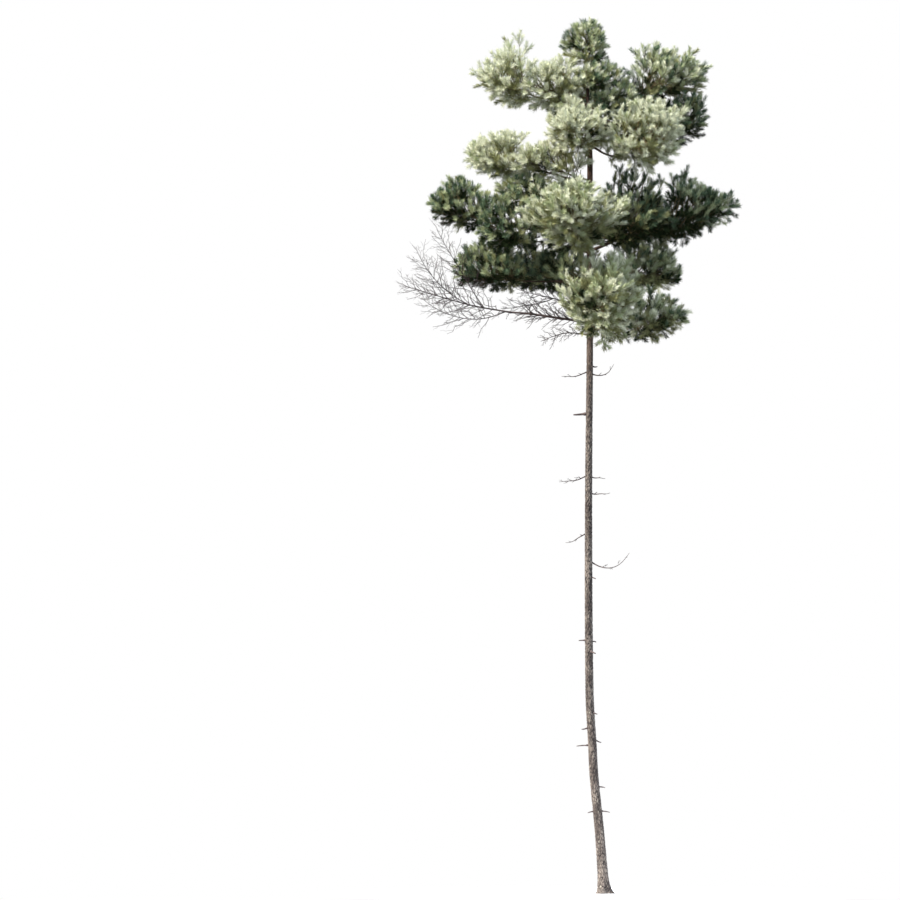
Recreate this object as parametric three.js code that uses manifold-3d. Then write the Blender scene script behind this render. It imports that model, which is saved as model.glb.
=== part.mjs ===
// A pine tree, 18 m tall, as it grows in a close stand: a slim stem that leans
// and straightens, short dead snags up its bare length, dead limbs hanging on
// under the crown, and a crown of dense pads of needles, most of them at the
// end of a living bough.
//
// Millimetres, +Z up. The origin is at ground level in the middle of the stem's
// foot. Bearings are degrees round the stem: 0 is right (+X), 90 is away (+Y).

import * as THREE from 'three';
import { mergeVertices } from 'three/addons/utils/BufferGeometryUtils.js';
import Module from 'manifold-3d';

const wasm = await Module();
wasm.setup();

const { lerp, degToRad } = THREE.MathUtils;
const UP = new THREE.Vector3(0, 0, 1);

// Space left between neighbouring solids.
const CLEARANCE = 0.4;
const MERGE_DISTANCE = 0.01;

// The stem, from the flat cut at the ground to the tip inside the top tuft.
const STEM_TOP = 17720;
const CROWN_FOOT = 10500;
const STEM_SIDES = 10;
const STEM_RINGS = 24;
const RING_CROWDING = 1.6;
const FLARE = 92;
const FLARE_HEIGHT = 130;
const ROOT_LOBES = 3;
const LOBE_DEPTH = 0.22;
const STEM_STATIONS = [
  { height: 0, x: 0, y: 0, diameter: 224 },
  { height: 450, x: -27, y: 5, diameter: 214 },
  { height: 1320, x: -93, y: 15, diameter: 196 },
  { height: 2410, x: -198, y: 30, diameter: 186 },
  { height: 3010, x: -228, y: 40, diameter: 180 },
  { height: 4160, x: -286, y: 50, diameter: 172 },
  { height: 7870, x: -299, y: 20, diameter: 154 },
  { height: 11220, x: -268, y: -20, diameter: 136 },
  { height: 13940, x: -262, y: -15, diameter: 124 },
  { height: 15280, x: -260, y: 0, diameter: 112 },
  { height: 16310, x: -295, y: 8, diameter: 70 },
  { height: STEM_TOP, x: -338, y: 0, diameter: 14 },
];

// Short dead pegs that are one piece with the stem.
const PEG_SIDES = 5;
const PEG_SUNK = 40;
const PEG_TAPER = 0.55;
const PEGS = [
  { height: 10825, bearing: 10, length: 95, radius: 15, rise: 0 },
  { height: 9850, bearing: 178, length: 260, radius: 22, rise: -20 },
  { height: 6490, bearing: 330, length: 90, radius: 14, rise: -45 },
  { height: 5190, bearing: 185, length: 130, radius: 14, rise: -8 },
  { height: 5170, bearing: 20, length: 80, radius: 14, rise: -20 },
  { height: 4960, bearing: 305, length: 150, radius: 18, rise: -50 },
  { height: 3710, bearing: 320, length: 100, radius: 15, rise: -40 },
  { height: 3390, bearing: 190, length: 120, radius: 14, rise: -30 },
  { height: 3145, bearing: 15, length: 110, radius: 14, rise: -55 },
  { height: 3040, bearing: 175, length: 240, radius: 13, rise: -25 },
  { height: 2190, bearing: 350, length: 120, radius: 13, rise: -25 },
  { height: 1690, bearing: 170, length: 110, radius: 13, rise: -40 },
  { height: 1695, bearing: 5, length: 160, radius: 13, rise: -35 },
];

// Living boughs: each leaves the stem, levels out and ends where it enters its pad.
const BOUGH_SIDES = 5;
const BOUGH_STEPS = 4;
const BOUGH_TIP_RADIUS = 13;
const BOUGH_SPREAD = 11;
const BOUGH_BEND_OUT = 0.45;
const BOUGH_BEND_RISE = 0.75;
const ENTRY_OUT = 0.74;
const ENTRY_LOW = 0.5;

// Pads of foliage, from the top down. A pad fills an egg round a point that is
// "out" from the stem on its bearing: "long" outwards, "wide" across, "tall"
// above that point and "deep" below it, all half sizes. "taper" says how much
// slimmer its outer end is, and "from" is the height at which its bough leaves the
// stem. A pad with no bough grows its own limb from the stem, and a pad "round"
// the stem has its long way upright.
const PADS = [
  { name: 'leader', carried: 'round', height: 17515, bearing: 0, out: 10,
    long: 560, wide: 440, tall: 500, deep: 460, twigs: 10, from: 17060, seed: 11 },
  { name: 'cap', carried: 'round', height: 16770, bearing: 0, out: 260,
    long: 480, wide: 620, tall: 560, deep: 640, twigs: 14, from: 16700, seed: 12 },
  { name: 'upper_left_outer', carried: 'bough', height: 16850, bearing: 174, out: 1650,
    long: 800, wide: 740, tall: 640, deep: 620, taper: 0.5, twigs: 9, from: 16250, seed: 13 },
  { name: 'upper_left_inner', carried: 'stem', height: 16680, bearing: 190, out: 830,
    long: 760, wide: 600, tall: 520, deep: 640, twigs: 7, from: 16400, seed: 14 },
  { name: 'upper_right_top', carried: 'bough', height: 16910, bearing: 8, out: 1570,
    long: 900, wide: 780, tall: 620, deep: 780, taper: 0.1, twigs: 9, from: 16290, seed: 15 },
  { name: 'upper_right_low', carried: 'bough', height: 15980, bearing: 9, out: 1900,
    long: 560, wide: 660, tall: 660, deep: 540, taper: 0.2, twigs: 6, from: 16090, seed: 16 },
  { name: 'upper_right_inner', carried: 'stem', height: 16310, bearing: 350, out: 660,
    long: 480, wide: 460, tall: 480, deep: 380, twigs: 5, from: 16180, seed: 17 },
  { name: 'front_right', carried: 'bough', height: 15560, bearing: 322, out: 1440,
    long: 900, wide: 780, tall: 660, deep: 740, twigs: 9, from: 15440, seed: 18 },
  { name: 'front_left', carried: 'stem', height: 15660, bearing: 251, out: 820,
    long: 760, wide: 740, tall: 560, deep: 540, twigs: 8, from: 15490, seed: 19 },
  { name: 'left_outer', carried: 'bough', height: 15240, bearing: 172, out: 1890,
    long: 790, wide: 700, tall: 440, deep: 500, twigs: 9, from: 14560, seed: 20 },
  { name: 'left_inner', carried: 'stem', height: 15020, bearing: 196, out: 930,
    long: 760, wide: 620, tall: 520, deep: 480, twigs: 6, from: 14680, seed: 21 },
  { name: 'left_under', carried: 'bough', height: 14460, bearing: 178, out: 1270,
    long: 680, wide: 660, tall: 400, deep: 420, twigs: 6, from: 14300, seed: 22 },
  { name: 'left_far', carried: 'bough', height: 14180, bearing: 170, out: 2660,
    long: 750, wide: 660, tall: 700, deep: 540, twigs: 8, from: 13290, seed: 23 },
  { name: 'left_near', carried: 'bough', height: 13780, bearing: 186, out: 1690,
    long: 780, wide: 640, tall: 580, deep: 620, twigs: 7, from: 13180, seed: 24 },
  { name: 'front_ball', carried: 'bough', height: 13840, bearing: 257, out: 1650,
    long: 980, wide: 1040, tall: 640, deep: 800, twigs: 12, from: 13220, seed: 25 },
  { name: 'right_inner', carried: 'stem', height: 14000, bearing: 350, out: 1020,
    long: 920, wide: 720, tall: 780, deep: 680, twigs: 8, from: 13320, seed: 26 },
  { name: 'right_outer', carried: 'bough', height: 14090, bearing: 4, out: 2120,
    long: 980, wide: 820, tall: 700, deep: 670, taper: 0.45, twigs: 10, from: 13210, seed: 27 },
  { name: 'lower_left_outer', carried: 'bough', height: 12850, bearing: 172, out: 1980,
    long: 830, wide: 760, tall: 580, deep: 440, taper: 0.1, twigs: 9, from: 12540, seed: 28 },
  { name: 'lower_left_inner', carried: 'stem', height: 12790, bearing: 152, out: 740,
    long: 600, wide: 600, tall: 560, deep: 420, twigs: 6, from: 12640, seed: 29 },
  { name: 'lower_right', carried: 'bough', height: 12850, bearing: 22, out: 1200,
    long: 880, wide: 720, tall: 640, deep: 480, taper: 0.05, twigs: 8, from: 12540, seed: 30 },
  { name: 'front_low', carried: 'bough', height: 12130, bearing: 279, out: 1450,
    long: 920, wide: 810, tall: 920, deep: 880, twigs: 12, from: 11700, seed: 31 },
  { name: 'right_low', carried: 'bough', height: 11850, bearing: 345, out: 1280,
    long: 740, wide: 660, tall: 500, deep: 560, taper: 0.1, twigs: 8, from: 11620, seed: 32 },
  { name: 'back_upper_right', carried: 'bough', height: 16060, bearing: 48, out: 1640,
    long: 860, wide: 700, tall: 560, deep: 560, twigs: 7, from: 16220, seed: 33 },
  { name: 'back_upper_left', carried: 'bough', height: 16420, bearing: 97, out: 1320,
    long: 800, wide: 660, tall: 500, deep: 500, twigs: 6, from: 16330, seed: 34 },
  { name: 'back_left', carried: 'bough', height: 14190, bearing: 110, out: 1780,
    long: 960, wide: 800, tall: 700, deep: 600, twigs: 8, from: 13640, seed: 35 },
  { name: 'back_right', carried: 'bough', height: 13980, bearing: 58, out: 1980,
    long: 1000, wide: 800, tall: 640, deep: 600, twigs: 8, from: 13400, seed: 36 },
  { name: 'back_low', carried: 'bough', height: 12520, bearing: 83, out: 1680,
    long: 960, wide: 800, tall: 800, deep: 380, twigs: 7, from: 12300, seed: 37 },
  { name: 'back_low_left', carried: 'bough', height: 12860, bearing: 130, out: 1780,
    long: 840, wide: 600, tall: 740, deep: 320, twigs: 6, from: 12440, seed: 38 },
];

// How a pad grows: a limb through it, twigs round the limb, sprays on the twigs.
// Shares are of a pad's half sizes, of a twig's length or of a spray's length.
const GOLDEN_ANGLE = 2.39996;
const NEARLY_UPRIGHT = 0.1;
const PAD_LIMB_SIDES = 5;
const PAD_LIMB_STEPS = 4;
const PAD_LIMB_TIP_RADIUS = 9;
const PAD_LIMB_SUNK = 20;
const PAD_LIMB_END = 0.5;
const PAD_LIMB_LOW = 0.3;
const PAD_LIMB_MIDDLE = -0.2;
const STEM_LIMB_MIDDLE = -0.3;
const TWIG_FIRST = 0.2;
const TWIG_LAST = 0.98;
const TWIG_LEAST = 70;
const TWIG_BACK = -0.2;
const TWIG_AHEAD = 1.1;
const NECK_RADIUS = 15;
const TWIG_ROLL = 0.6;
const SPRAY_LENGTH = 430;
const END_SPRAY = 2 * SPRAY_LENGTH;
const SPRAY_LEAST = 0.5;
const SPRAY_VARIES = 0.25;
const SHORT_OF_ROOM = 0.86;
const PAST_ROOM = 1.12;
const SPRAY_WIDTH = 0.42;
const SPRAY_SUNK = 14;
const MIDDLE = 0.6;
const TIP_GIRTH = 0.8;
const MIDDLE_GIRTH = 0.6;
const SPRAY_TURN = 0.75;
const SPRAY_LIFT = 0.25;
const SPRAY_APART = 345;
const SPRAY_POINTS = 4;
const SPRAY_THICK = 0.24;
const BROAD_AHEAD = 0.84;
const HOLLOW_AHEAD = 0.74;
const SIDE_SPRAYS = [0.85, 0.55];
const TAPER = 0.3;
const LUMPS = [4.3, 4.9, 4.1];
const LUMP_HEIGHT = 0.075;
const CORE_SIZE = 0.79;
const CORE_LUMPS = 0.14;
const CORE_SEED = 500;
const CORE_ROOM = 2 * CLEARANCE;
const OUTSIDE = 3;
const OWN_SPACE = 1.12;
const NEIGHBOUR_SPACE = 0.86;
const SPACE_BETWEEN = 0.06;
const LIMB_ROOM = 12;
const MARKS_PER_LIMB = 30;
const MARKS_APART = 100;

// Dead limbs and snags: bare, with thin twigs that branch by a seeded rule.
const DEAD_BOUGH = {
  name: 'dead_bough', rootRadius: 30, tipRadius: 20, twigs: 10, last: 0.8, reach: 720, seed: 50,
  points: [[-268, -20, 11700], [-900, -50, 11880], [-1900, -80, 11940]], sides: [],
};
const DEAD_LIMBS = [
  { name: 'dead_limb_long', rootRadius: 18, tipRadius: 5, twigs: 14, last: 0.97, reach: 700, seed: 51,
    points: [[-1890, -80, 11940], [-3000, -120, 12110], [-4130, -160, 12500]],
    sides: [
      { from: 0.05, points: [[-2950, 100, 11560], [-3720, 150, 12250]] },
      { from: 0.25, points: [[-2950, -250, 12750], [-3420, -350, 13630]] },
      { from: 0.4, points: [[-3400, -300, 12350], [-3800, -400, 13110]] },
    ] },
  { name: 'dead_limb_upper', rootRadius: 17, tipRadius: 5, twigs: 9, last: 0.97, reach: 520, seed: 52,
    points: [[-264, -18, 12120], [-1100, 50, 12200], [-1780, 100, 12450]],
    sides: [{ from: 0.5, points: [[-1500, 150, 12060], [-2100, 200, 12050]] }] },
  { name: 'dead_limb_lower', rootRadius: 15, tipRadius: 5, twigs: 7, last: 0.97, reach: 380, seed: 53,
    points: [[-269, -18, 11470], [-760, -60, 11600], [-1280, -110, 11340]], sides: [] },
];
const SNAG = { rootRadius: 15, tipRadius: 4, last: 0.97, sides: [] };
const SNAGS = [
  { name: 'snag_right_1', seed: 61, twigs: 3, reach: 90,
    points: [[-268, -18, 10700], [10, -60, 10500], [225, -80, 10870]] },
  { name: 'snag_left_1', seed: 62, twigs: 4, reach: 120,
    points: [[-270, -18, 10740], [-500, -30, 10600], [-852, -60, 10620]] },
  { name: 'snag_left_2', seed: 63, twigs: 5, reach: 220,
    points: [[-292, 0, 8590], [-560, -40, 8450], [-906, -90, 8440]] },
  { name: 'snag_right_2', seed: 64, twigs: 1, reach: 80,
    points: [[-292, 0, 8570], [-120, -40, 8510], [45, -60, 8510]] },
  { name: 'snag_right_3', seed: 65, twigs: 2, reach: 80,
    points: [[-294, 4, 8230], [-80, -30, 8150], [142, -50, 8215]] },
  { name: 'snag_left_3', seed: 66, twigs: 3, reach: 130,
    points: [[-298, 14, 7440], [-560, -20, 7200], [-775, -40, 7190]] },
  { name: 'snag_right_4', seed: 67, twigs: 4, reach: 150,
    points: [[-298, 26, 6850], [140, -60, 6420], [532, -120, 6975]] },
];
const DEAD_SIDES = 4;
const DEAD_STEPS = 4;
const DEAD_TWIG_SIDES = 3;
const SIDE_LIMB_SHARE = 0.6;
const DEAD_TWIG_FIRST = 0.25;
const DEAD_TWIG_RADIUS = 0.6;
const DEAD_TWIG_TIP = 3.5;
const DEAD_TWIG_TURN = 0.6;
const DEAD_TWIG_ROLL = 2;
const DEAD_TWIG_STRAYS = 0.5;
const DEAD_TWIG_SHORTEST = 0.6;
const DEAD_TWIG_RISE = 0.3;
const DEAD_TWIG_SHORTENS = 0.45;

const FINISHES = {
  bark: new THREE.MeshStandardMaterial({ color: '#85766a', roughness: 0.95, metalness: 0 }),
  limb: new THREE.MeshStandardMaterial({ color: '#5d4a3f', roughness: 0.9, metalness: 0 }),
  dead: new THREE.MeshStandardMaterial({ color: '#54464a', roughness: 0.9, metalness: 0 }),
  needles: new THREE.MeshStandardMaterial({ color: '#7d8c68', roughness: 0.7, metalness: 0 }),
};

// Numbers between 0 and 1 that are the same for the same seed.
function seeded(seed) {
  let state = seed >>> 0;
  return () => {
    state = (state + 0x6d2b79f5) >>> 0;
    let mixed = Math.imul(state ^ (state >>> 15), state | 1);
    mixed ^= mixed + Math.imul(mixed ^ (mixed >>> 7), mixed | 61);
    return ((mixed ^ (mixed >>> 14)) >>> 0) / 4294967296;
  };
}

// One measure of the stem at a height, on a smooth curve through its stations.
function stemMeasure(measure, height) {
  const last = STEM_STATIONS.length - 1;
  let i = 0;
  while (i < last - 1 && STEM_STATIONS[i + 1].height < height) i += 1;
  const slope = (k) => {
    const below = STEM_STATIONS[Math.max(k - 1, 0)];
    const above = STEM_STATIONS[Math.min(k + 1, last)];
    return (above[measure] - below[measure]) / (above.height - below.height);
  };
  const low = STEM_STATIONS[i];
  const high = STEM_STATIONS[i + 1];
  const span = high.height - low.height;
  const t = THREE.MathUtils.clamp((height - low.height) / span, 0, 1);
  const ease = t * t * (3 - 2 * t);
  return low[measure] * (1 - ease) + high[measure] * ease
    + span * (slope(i) * t * (1 - t) ** 2 - slope(i + 1) * t * t * (1 - t));
}

function stemPoint(height) {
  return new THREE.Vector3(stemMeasure('x', height), stemMeasure('y', height), height);
}

function stemRadius(height) {
  return stemMeasure('diameter', height) / 2 + FLARE * Math.exp(-height / FLARE_HEIGHT);
}

function solidOf(geometry) {
  geometry.deleteAttribute('normal');
  geometry.deleteAttribute('uv');
  const merged = mergeVertices(geometry, MERGE_DISTANCE);
  return new wasm.Manifold(new wasm.Mesh({
    numProp: 3,
    vertProperties: new Float32Array(merged.attributes.position.array),
    triVerts: new Uint32Array(merged.index.array),
  }));
}

// The stem as level rings up its leaning line, with the foot lobed by its roots.
function stemSolid(grow) {
  const geometry = new THREE.CylinderGeometry(1, 1, 1, STEM_SIDES, STEM_RINGS);
  const position = geometry.attributes.position;
  for (let i = 0; i < position.count; i += 1) {
    const height = STEM_TOP * (position.getY(i) + 0.5) ** RING_CROWDING;
    const x = position.getZ(i);
    const y = position.getX(i);
    const lobe = LOBE_DEPTH * Math.cos(ROOT_LOBES * Math.atan2(y, x))
      * Math.exp(-height / FLARE_HEIGHT);
    const radius = stemRadius(height) * (1 + lobe) + grow;
    const centre = stemPoint(height);
    const top = height === STEM_TOP ? grow : 0;
    position.setXYZ(i, centre.x + x * radius, centre.y + y * radius, height + top);
  }
  return solidOf(geometry);
}

// A limb that tapers along a curve, "grow" larger all round where it cuts room.
function limbSolid(curve, rootRadius, tipRadius, sides, steps, grow = 0) {
  const geometry = new THREE.CylinderGeometry(1, 1, 1, sides, steps);
  const frames = curve.computeFrenetFrames(steps, false);
  const position = geometry.attributes.position;
  for (let i = 0; i < position.count; i += 1) {
    const along = position.getY(i) + 0.5;
    const ring = Math.round(along * steps);
    const radius = lerp(rootRadius, tipRadius, along) + grow;
    const place = curve.getPointAt(ring / steps);
    place.addScaledVector(frames.binormals[ring], position.getX(i) * radius);
    place.addScaledVector(frames.normals[ring], position.getZ(i) * radius);
    if (ring === steps) place.addScaledVector(frames.tangents[ring], grow);
    position.setXYZ(i, place.x, place.y, place.z);
  }
  return solidOf(geometry);
}

function bend(root, middle, tip) {
  return new THREE.QuadraticBezierCurve3(root, middle, tip);
}

// A point on a limb's own straight steps, so that what grows there starts inside it.
function stepPoint(curve, steps, along) {
  const step = Math.min(Math.floor(along * steps), steps - 1);
  const before = curve.getPointAt(step / steps);
  const after = curve.getPointAt((step + 1) / steps);
  return before.lerp(after, along * steps - step);
}

// A direction turned away from a heading by an angle, towards a roll round it.
function turned(heading, angle, roll) {
  const level = new THREE.Vector3(-heading.y, heading.x, 0);
  if (level.length() < NEARLY_UPRIGHT) level.set(1, 0, 0);
  level.normalize();
  const upright = new THREE.Vector3().crossVectors(heading, level);
  return heading.clone().multiplyScalar(Math.cos(angle))
    .addScaledVector(level, Math.sin(angle) * Math.cos(roll))
    .addScaledVector(upright, Math.sin(angle) * Math.sin(roll));
}

// The egg of space that one pad keeps to, and the limb that grows into it.
class Pad {
  constructor(row) {
    Object.assign(this, { taper: TAPER, ...row });
    const bearing = degToRad(row.bearing);
    const flat = new THREE.Vector3(Math.cos(bearing), Math.sin(bearing), 0);
    this.outward = row.carried === 'round' ? UP : flat;
    this.sideways = new THREE.Vector3(-flat.y, flat.x, 0);
    this.upward = new THREE.Vector3().crossVectors(this.outward, this.sideways);
    this.centre = stemPoint(row.height).addScaledVector(flat, row.out);
    this.root = stemPoint(row.from);
    this.entry = this.at(-ENTRY_OUT, 0, -ENTRY_LOW);
    this.rootRadius = BOUGH_TIP_RADIUS + BOUGH_SPREAD * row.out / 1000;
    this.limb = this.limbCurve();
  }

  // How wide the egg is at a share of its length, beside its half width.
  girth(out) {
    return 1 - this.taper * THREE.MathUtils.clamp(out, -1, 1);
  }

  // A point given in shares of the pad's half sizes.
  at(out, side, up) {
    const girth = this.girth(out);
    return this.centre.clone()
      .addScaledVector(this.outward, out * this.long)
      .addScaledVector(this.sideways, side * girth * this.wide)
      .addScaledVector(this.upward, up * girth * (up > 0 ? this.tall : this.deep));
  }

  // How far out in the egg a point lies: 0 at the centre, 1 on the lumpy surface.
  reach(point) {
    const offset = point.clone().sub(this.centre);
    const out = offset.dot(this.outward) / this.long;
    const girth = this.girth(out);
    const above = offset.dot(this.upward);
    const side = offset.dot(this.sideways) / (girth * this.wide);
    const up = above / (girth * (above > 0 ? this.tall : this.deep));
    const way = new THREE.Vector3(out, side, up);
    const even = way.length();
    way.normalize();
    const lumps = Math.cos(LUMPS[0] * way.x + this.seed) + Math.cos(LUMPS[1] * way.y + 2 * this.seed)
      + Math.cos(LUMPS[2] * way.z + 3 * this.seed);
    return even / (1 + LUMP_HEIGHT * lumps);
  }

  // The distance from a point inside the egg to its surface.
  room(start, heading) {
    let inside = 0;
    let outside = OUTSIDE * Math.max(this.long, this.wide);
    while (outside - inside > 1) {
      const middle = (inside + outside) / 2;
      const point = start.clone().addScaledVector(heading, middle);
      if (this.reach(point) < 1) inside = middle;
      else outside = middle;
    }
    return inside;
  }

  boughCurve() {
    const middle = this.root.clone().lerp(this.entry, BOUGH_BEND_OUT);
    middle.z = lerp(this.root.z, this.entry.z, BOUGH_BEND_RISE);
    return bend(this.root, middle, this.entry);
  }

  limbCurve() {
    const end = this.at(PAD_LIMB_END, 0, 0);
    if (this.carried === 'round') {
      const high = stemPoint(Math.min(end.z, STEM_TOP));
      return bend(this.root, this.root.clone().lerp(high, 0.5), high);
    }
    const middle = this.carried === 'stem' ? STEM_LIMB_MIDDLE : PAD_LIMB_MIDDLE;
    const low = this.at(middle, 0, -PAD_LIMB_LOW);
    if (this.carried === 'stem') return bend(this.root, low, end);
    const way = this.boughCurve().getTangent(1);
    const start = this.entry.clone().addScaledVector(way, -PAD_LIMB_SUNK);
    return bend(start, low, end);
  }
}

// Points along a limb, with its thickness there, that foliage stays clear of.
function markLimb(owner, curve, rootRadius, tipRadius) {
  return Array.from({ length: MARKS_PER_LIMB + 1 }, (_, i) => ({
    owner,
    place: curve.getPoint(i / MARKS_PER_LIMB),
    radius: lerp(rootRadius, tipRadius, i / MARKS_PER_LIMB),
  }));
}

// Whether a point with some thickness is in its pad's own space, clear of limbs.
function isClear(pad, pads, marks, point, thickness) {
  const own = pad.reach(point);
  if (own > OWN_SPACE) return false;
  const crowded = pads.some((other) => {
    if (other === pad) return false;
    return other.reach(point) < Math.max(NEIGHBOUR_SPACE, own + SPACE_BETWEEN);
  });
  if (crowded) return false;
  return marks.every((mark) => mark.owner === pad.name
    || mark.place.distanceTo(point) > mark.radius + thickness + LIMB_ROOM);
}

// A spray of needles: a brush that widens from its root to four points with a
// hollow between them. The spray at the end of a twig is one piece with it, by
// way of a neck where it starts.
function spraySolid(spray) {
  const rings = spray.neck ? 2 : 1;
  const geometry = new THREE.ConeGeometry(1, 1, SPRAY_POINTS, rings);
  const position = geometry.attributes.position;
  const facing = new THREE.Quaternion().setFromUnitVectors(UP, spray.heading);
  for (let i = 0; i < position.count; i += 1) {
    const ring = Math.round((position.getY(i) + 0.5) * rings);
    const middle = Math.hypot(position.getX(i), position.getZ(i)) < 0.5;
    const angle = Math.atan2(position.getZ(i), position.getX(i));
    const place = spray.root.clone();
    if (ring < rings) {
      const broad = Math.abs(Math.cos(angle)) > Math.SQRT1_2;
      let width = spray.length * (broad ? SPRAY_WIDTH : SPRAY_THICK);
      let ahead = spray.length * (broad ? BROAD_AHEAD : 1);
      if (ring === 1) [width, ahead] = [NECK_RADIUS, 0];
      else if (middle) [width, ahead] = [0, spray.length * HOLLOW_AHEAD];
      place.set(width * Math.cos(angle + spray.roll), width * Math.sin(angle + spray.roll), ahead);
      place.applyQuaternion(facing).add(spray.neck ?? spray.root);
    }
    position.setXYZ(i, place.x, place.y, place.z);
  }
  return solidOf(geometry);
}

// A pad's sprays, in an order that its seed settles: one ends its limb, and each
// twig has one at its end and may have one to each side.
function growPad(pad, pads, marks) {
  const random = seeded(pad.seed);
  const sprays = [];
  const fits = (point, thickness) => isClear(pad, pads, marks, point, thickness);
  const addSpray = (spray, start, longest, share) => {
    const length = Math.min(longest, share * pad.room(start, spray.heading));
    const tip = start.clone().addScaledVector(spray.heading, length);
    const middle = start.clone().addScaledVector(spray.heading, MIDDLE * length);
    const width = SPRAY_WIDTH * length;
    const apart = sprays.every((other) => other.tip.distanceTo(tip) > SPRAY_APART
      && other.middle.distanceTo(middle) > SPRAY_APART * MIDDLE);
    const long = length > SPRAY_LEAST * SPRAY_LENGTH;
    if (!long || !apart) return;
    if (!fits(tip, TIP_GIRTH * width) || !fits(middle, MIDDLE_GIRTH * width)) return;
    sprays.push({ ...spray, tip, middle, length });
  };
  const end = pad.limb.getPoint(1);
  const ahead = pad.outward.clone().addScaledVector(UP, SPRAY_LIFT).normalize();
  addSpray({ root: end.clone().addScaledVector(ahead, -SPRAY_SUNK), heading: ahead, roll: 0 },
    end, END_SPRAY, 1);
  for (let k = 0; k < pad.twigs; k += 1) {
    const along = lerp(TWIG_FIRST, TWIG_LAST, (k + 0.5) / pad.twigs);
    const around = k * GOLDEN_ANGLE + random() * TWIG_ROLL;
    const draws = Array.from({ length: 2 * SIDE_SPRAYS.length + 2 }, random);
    const root = stepPoint(pad.limb, PAD_LIMB_STEPS, along);
    const way = pad.outward.clone().multiplyScalar(lerp(TWIG_BACK, TWIG_AHEAD, along))
      .addScaledVector(pad.sideways, Math.cos(around))
      .addScaledVector(pad.upward, Math.sin(around)).normalize();
    const stretch = Math.max(TWIG_LEAST, pad.room(root, way) - SPRAY_LENGTH);
    const neck = root.clone().addScaledVector(way, stretch);
    if (!fits(neck, NECK_RADIUS)) continue;
    const heading = way.clone().addScaledVector(UP, SPRAY_LIFT).normalize();
    const sizes = (draw) => [SPRAY_LENGTH * (1 + SPRAY_VARIES * draw),
      lerp(SHORT_OF_ROOM, PAST_ROOM, draw)];
    const inside = neck.clone().addScaledVector(heading, -SPRAY_SUNK * 2);
    const ending = pad.reach(neck) < CORE_SIZE ? { root: inside } : { root, neck };
    addSpray({ ...ending, heading, roll: draws[0] }, neck, ...sizes(draws[1]));
    SIDE_SPRAYS.forEach((share, side) => {
      const roll = side * Math.PI + (draws[2 + 2 * side] - 0.5);
      const start = root.clone().lerp(neck, share);
      const aside = turned(heading, SPRAY_TURN, roll);
      const sunk = start.clone().addScaledVector(aside, -SPRAY_SUNK);
      addSpray({ root: sunk, heading: aside, roll }, start, ...sizes(draws[3 + 2 * side]));
    });
  }
  return sprays;
}

// The lump of packed inner needles that a pad's sprays stand out of, "grow"
// larger all round where it makes room for itself.
function coreSolid(pad, grow = 0) {
  const random = seeded(pad.seed + CORE_SEED);
  const geometry = new THREE.OctahedronGeometry(1, 1);
  geometry.deleteAttribute('normal');
  geometry.deleteAttribute('uv');
  const merged = mergeVertices(geometry, MERGE_DISTANCE);
  const position = merged.attributes.position;
  for (let i = 0; i < position.count; i += 1) {
    const size = CORE_SIZE * (1 + CORE_LUMPS * (random() - 0.5));
    const place = pad.at(position.getX(i) * size, position.getY(i) * size, position.getZ(i) * size);
    const outward = place.clone().sub(pad.centre).normalize();
    place.addScaledVector(outward, grow);
    position.setXYZ(i, place.x, place.y, place.z);
  }
  return solidOf(merged);
}

function largestBody(solid) {
  return solid.decompose().reduce((most, body) => (body.volume() > most.volume() ? body : most));
}

function padSolid(pad, sprays, room) {
  const pieces = [coreSolid(pad)];
  if (pad.carried !== 'round') {
    const rootRadius = pad.carried === 'stem' ? pad.rootRadius : BOUGH_TIP_RADIUS - 1;
    pieces.push(limbSolid(pad.limb, rootRadius, PAD_LIMB_TIP_RADIUS, PAD_LIMB_SIDES,
      PAD_LIMB_STEPS));
  }
  sprays.forEach((spray) => pieces.push(spraySolid(spray)));
  return largestBody(wasm.Manifold.union(pieces).subtract(room));
}

// The curves of a bare limb and of its side limbs, which start on its own steps.
function bareCurves(row) {
  const vectors = (points) => points.map((point) => new THREE.Vector3(...point));
  const main = bend(...vectors(row.points));
  const sides = row.sides.map((side) => {
    const root = stepPoint(main, DEAD_STEPS, side.from);
    return bend(root, ...vectors(side.points));
  });
  return [main, ...sides];
}

// A bare limb or snag with its side limbs, twigs alternating up and down it.
function bareSolid(row, room) {
  const random = seeded(row.seed);
  const pieces = [];
  bareCurves(row).forEach((curve, order) => {
    const share = order === 0 ? 1 : SIDE_LIMB_SHARE;
    const thick = row.rootRadius * share;
    const twigs = Math.ceil(row.twigs * share);
    pieces.push(limbSolid(curve, thick, row.tipRadius, DEAD_SIDES, DEAD_STEPS));
    for (let k = 0; k < twigs; k += 1) {
      const along = lerp(DEAD_TWIG_FIRST, row.last, (k + random() * DEAD_TWIG_STRAYS) / twigs);
      const roll = (k % 2 === 0 ? 0.5 : -0.5) * Math.PI + (random() - 0.5) * DEAD_TWIG_ROLL;
      const way = turned(curve.getTangent(along), DEAD_TWIG_TURN, roll);
      const length = row.reach * (1 - DEAD_TWIG_SHORTENS * along)
        * lerp(DEAD_TWIG_SHORTEST, 1, random());
      const start = stepPoint(curve, DEAD_STEPS, along);
      const end = start.clone().addScaledVector(way, length);
      end.z += DEAD_TWIG_RISE * length * random();
      const radius = DEAD_TWIG_RADIUS * lerp(thick, row.tipRadius, along);
      pieces.push(limbSolid(new THREE.LineCurve3(start, end), radius, DEAD_TWIG_TIP,
        DEAD_TWIG_SIDES, 1));
    }
  });
  return largestBody(wasm.Manifold.union(pieces).subtract(room));
}

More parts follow.
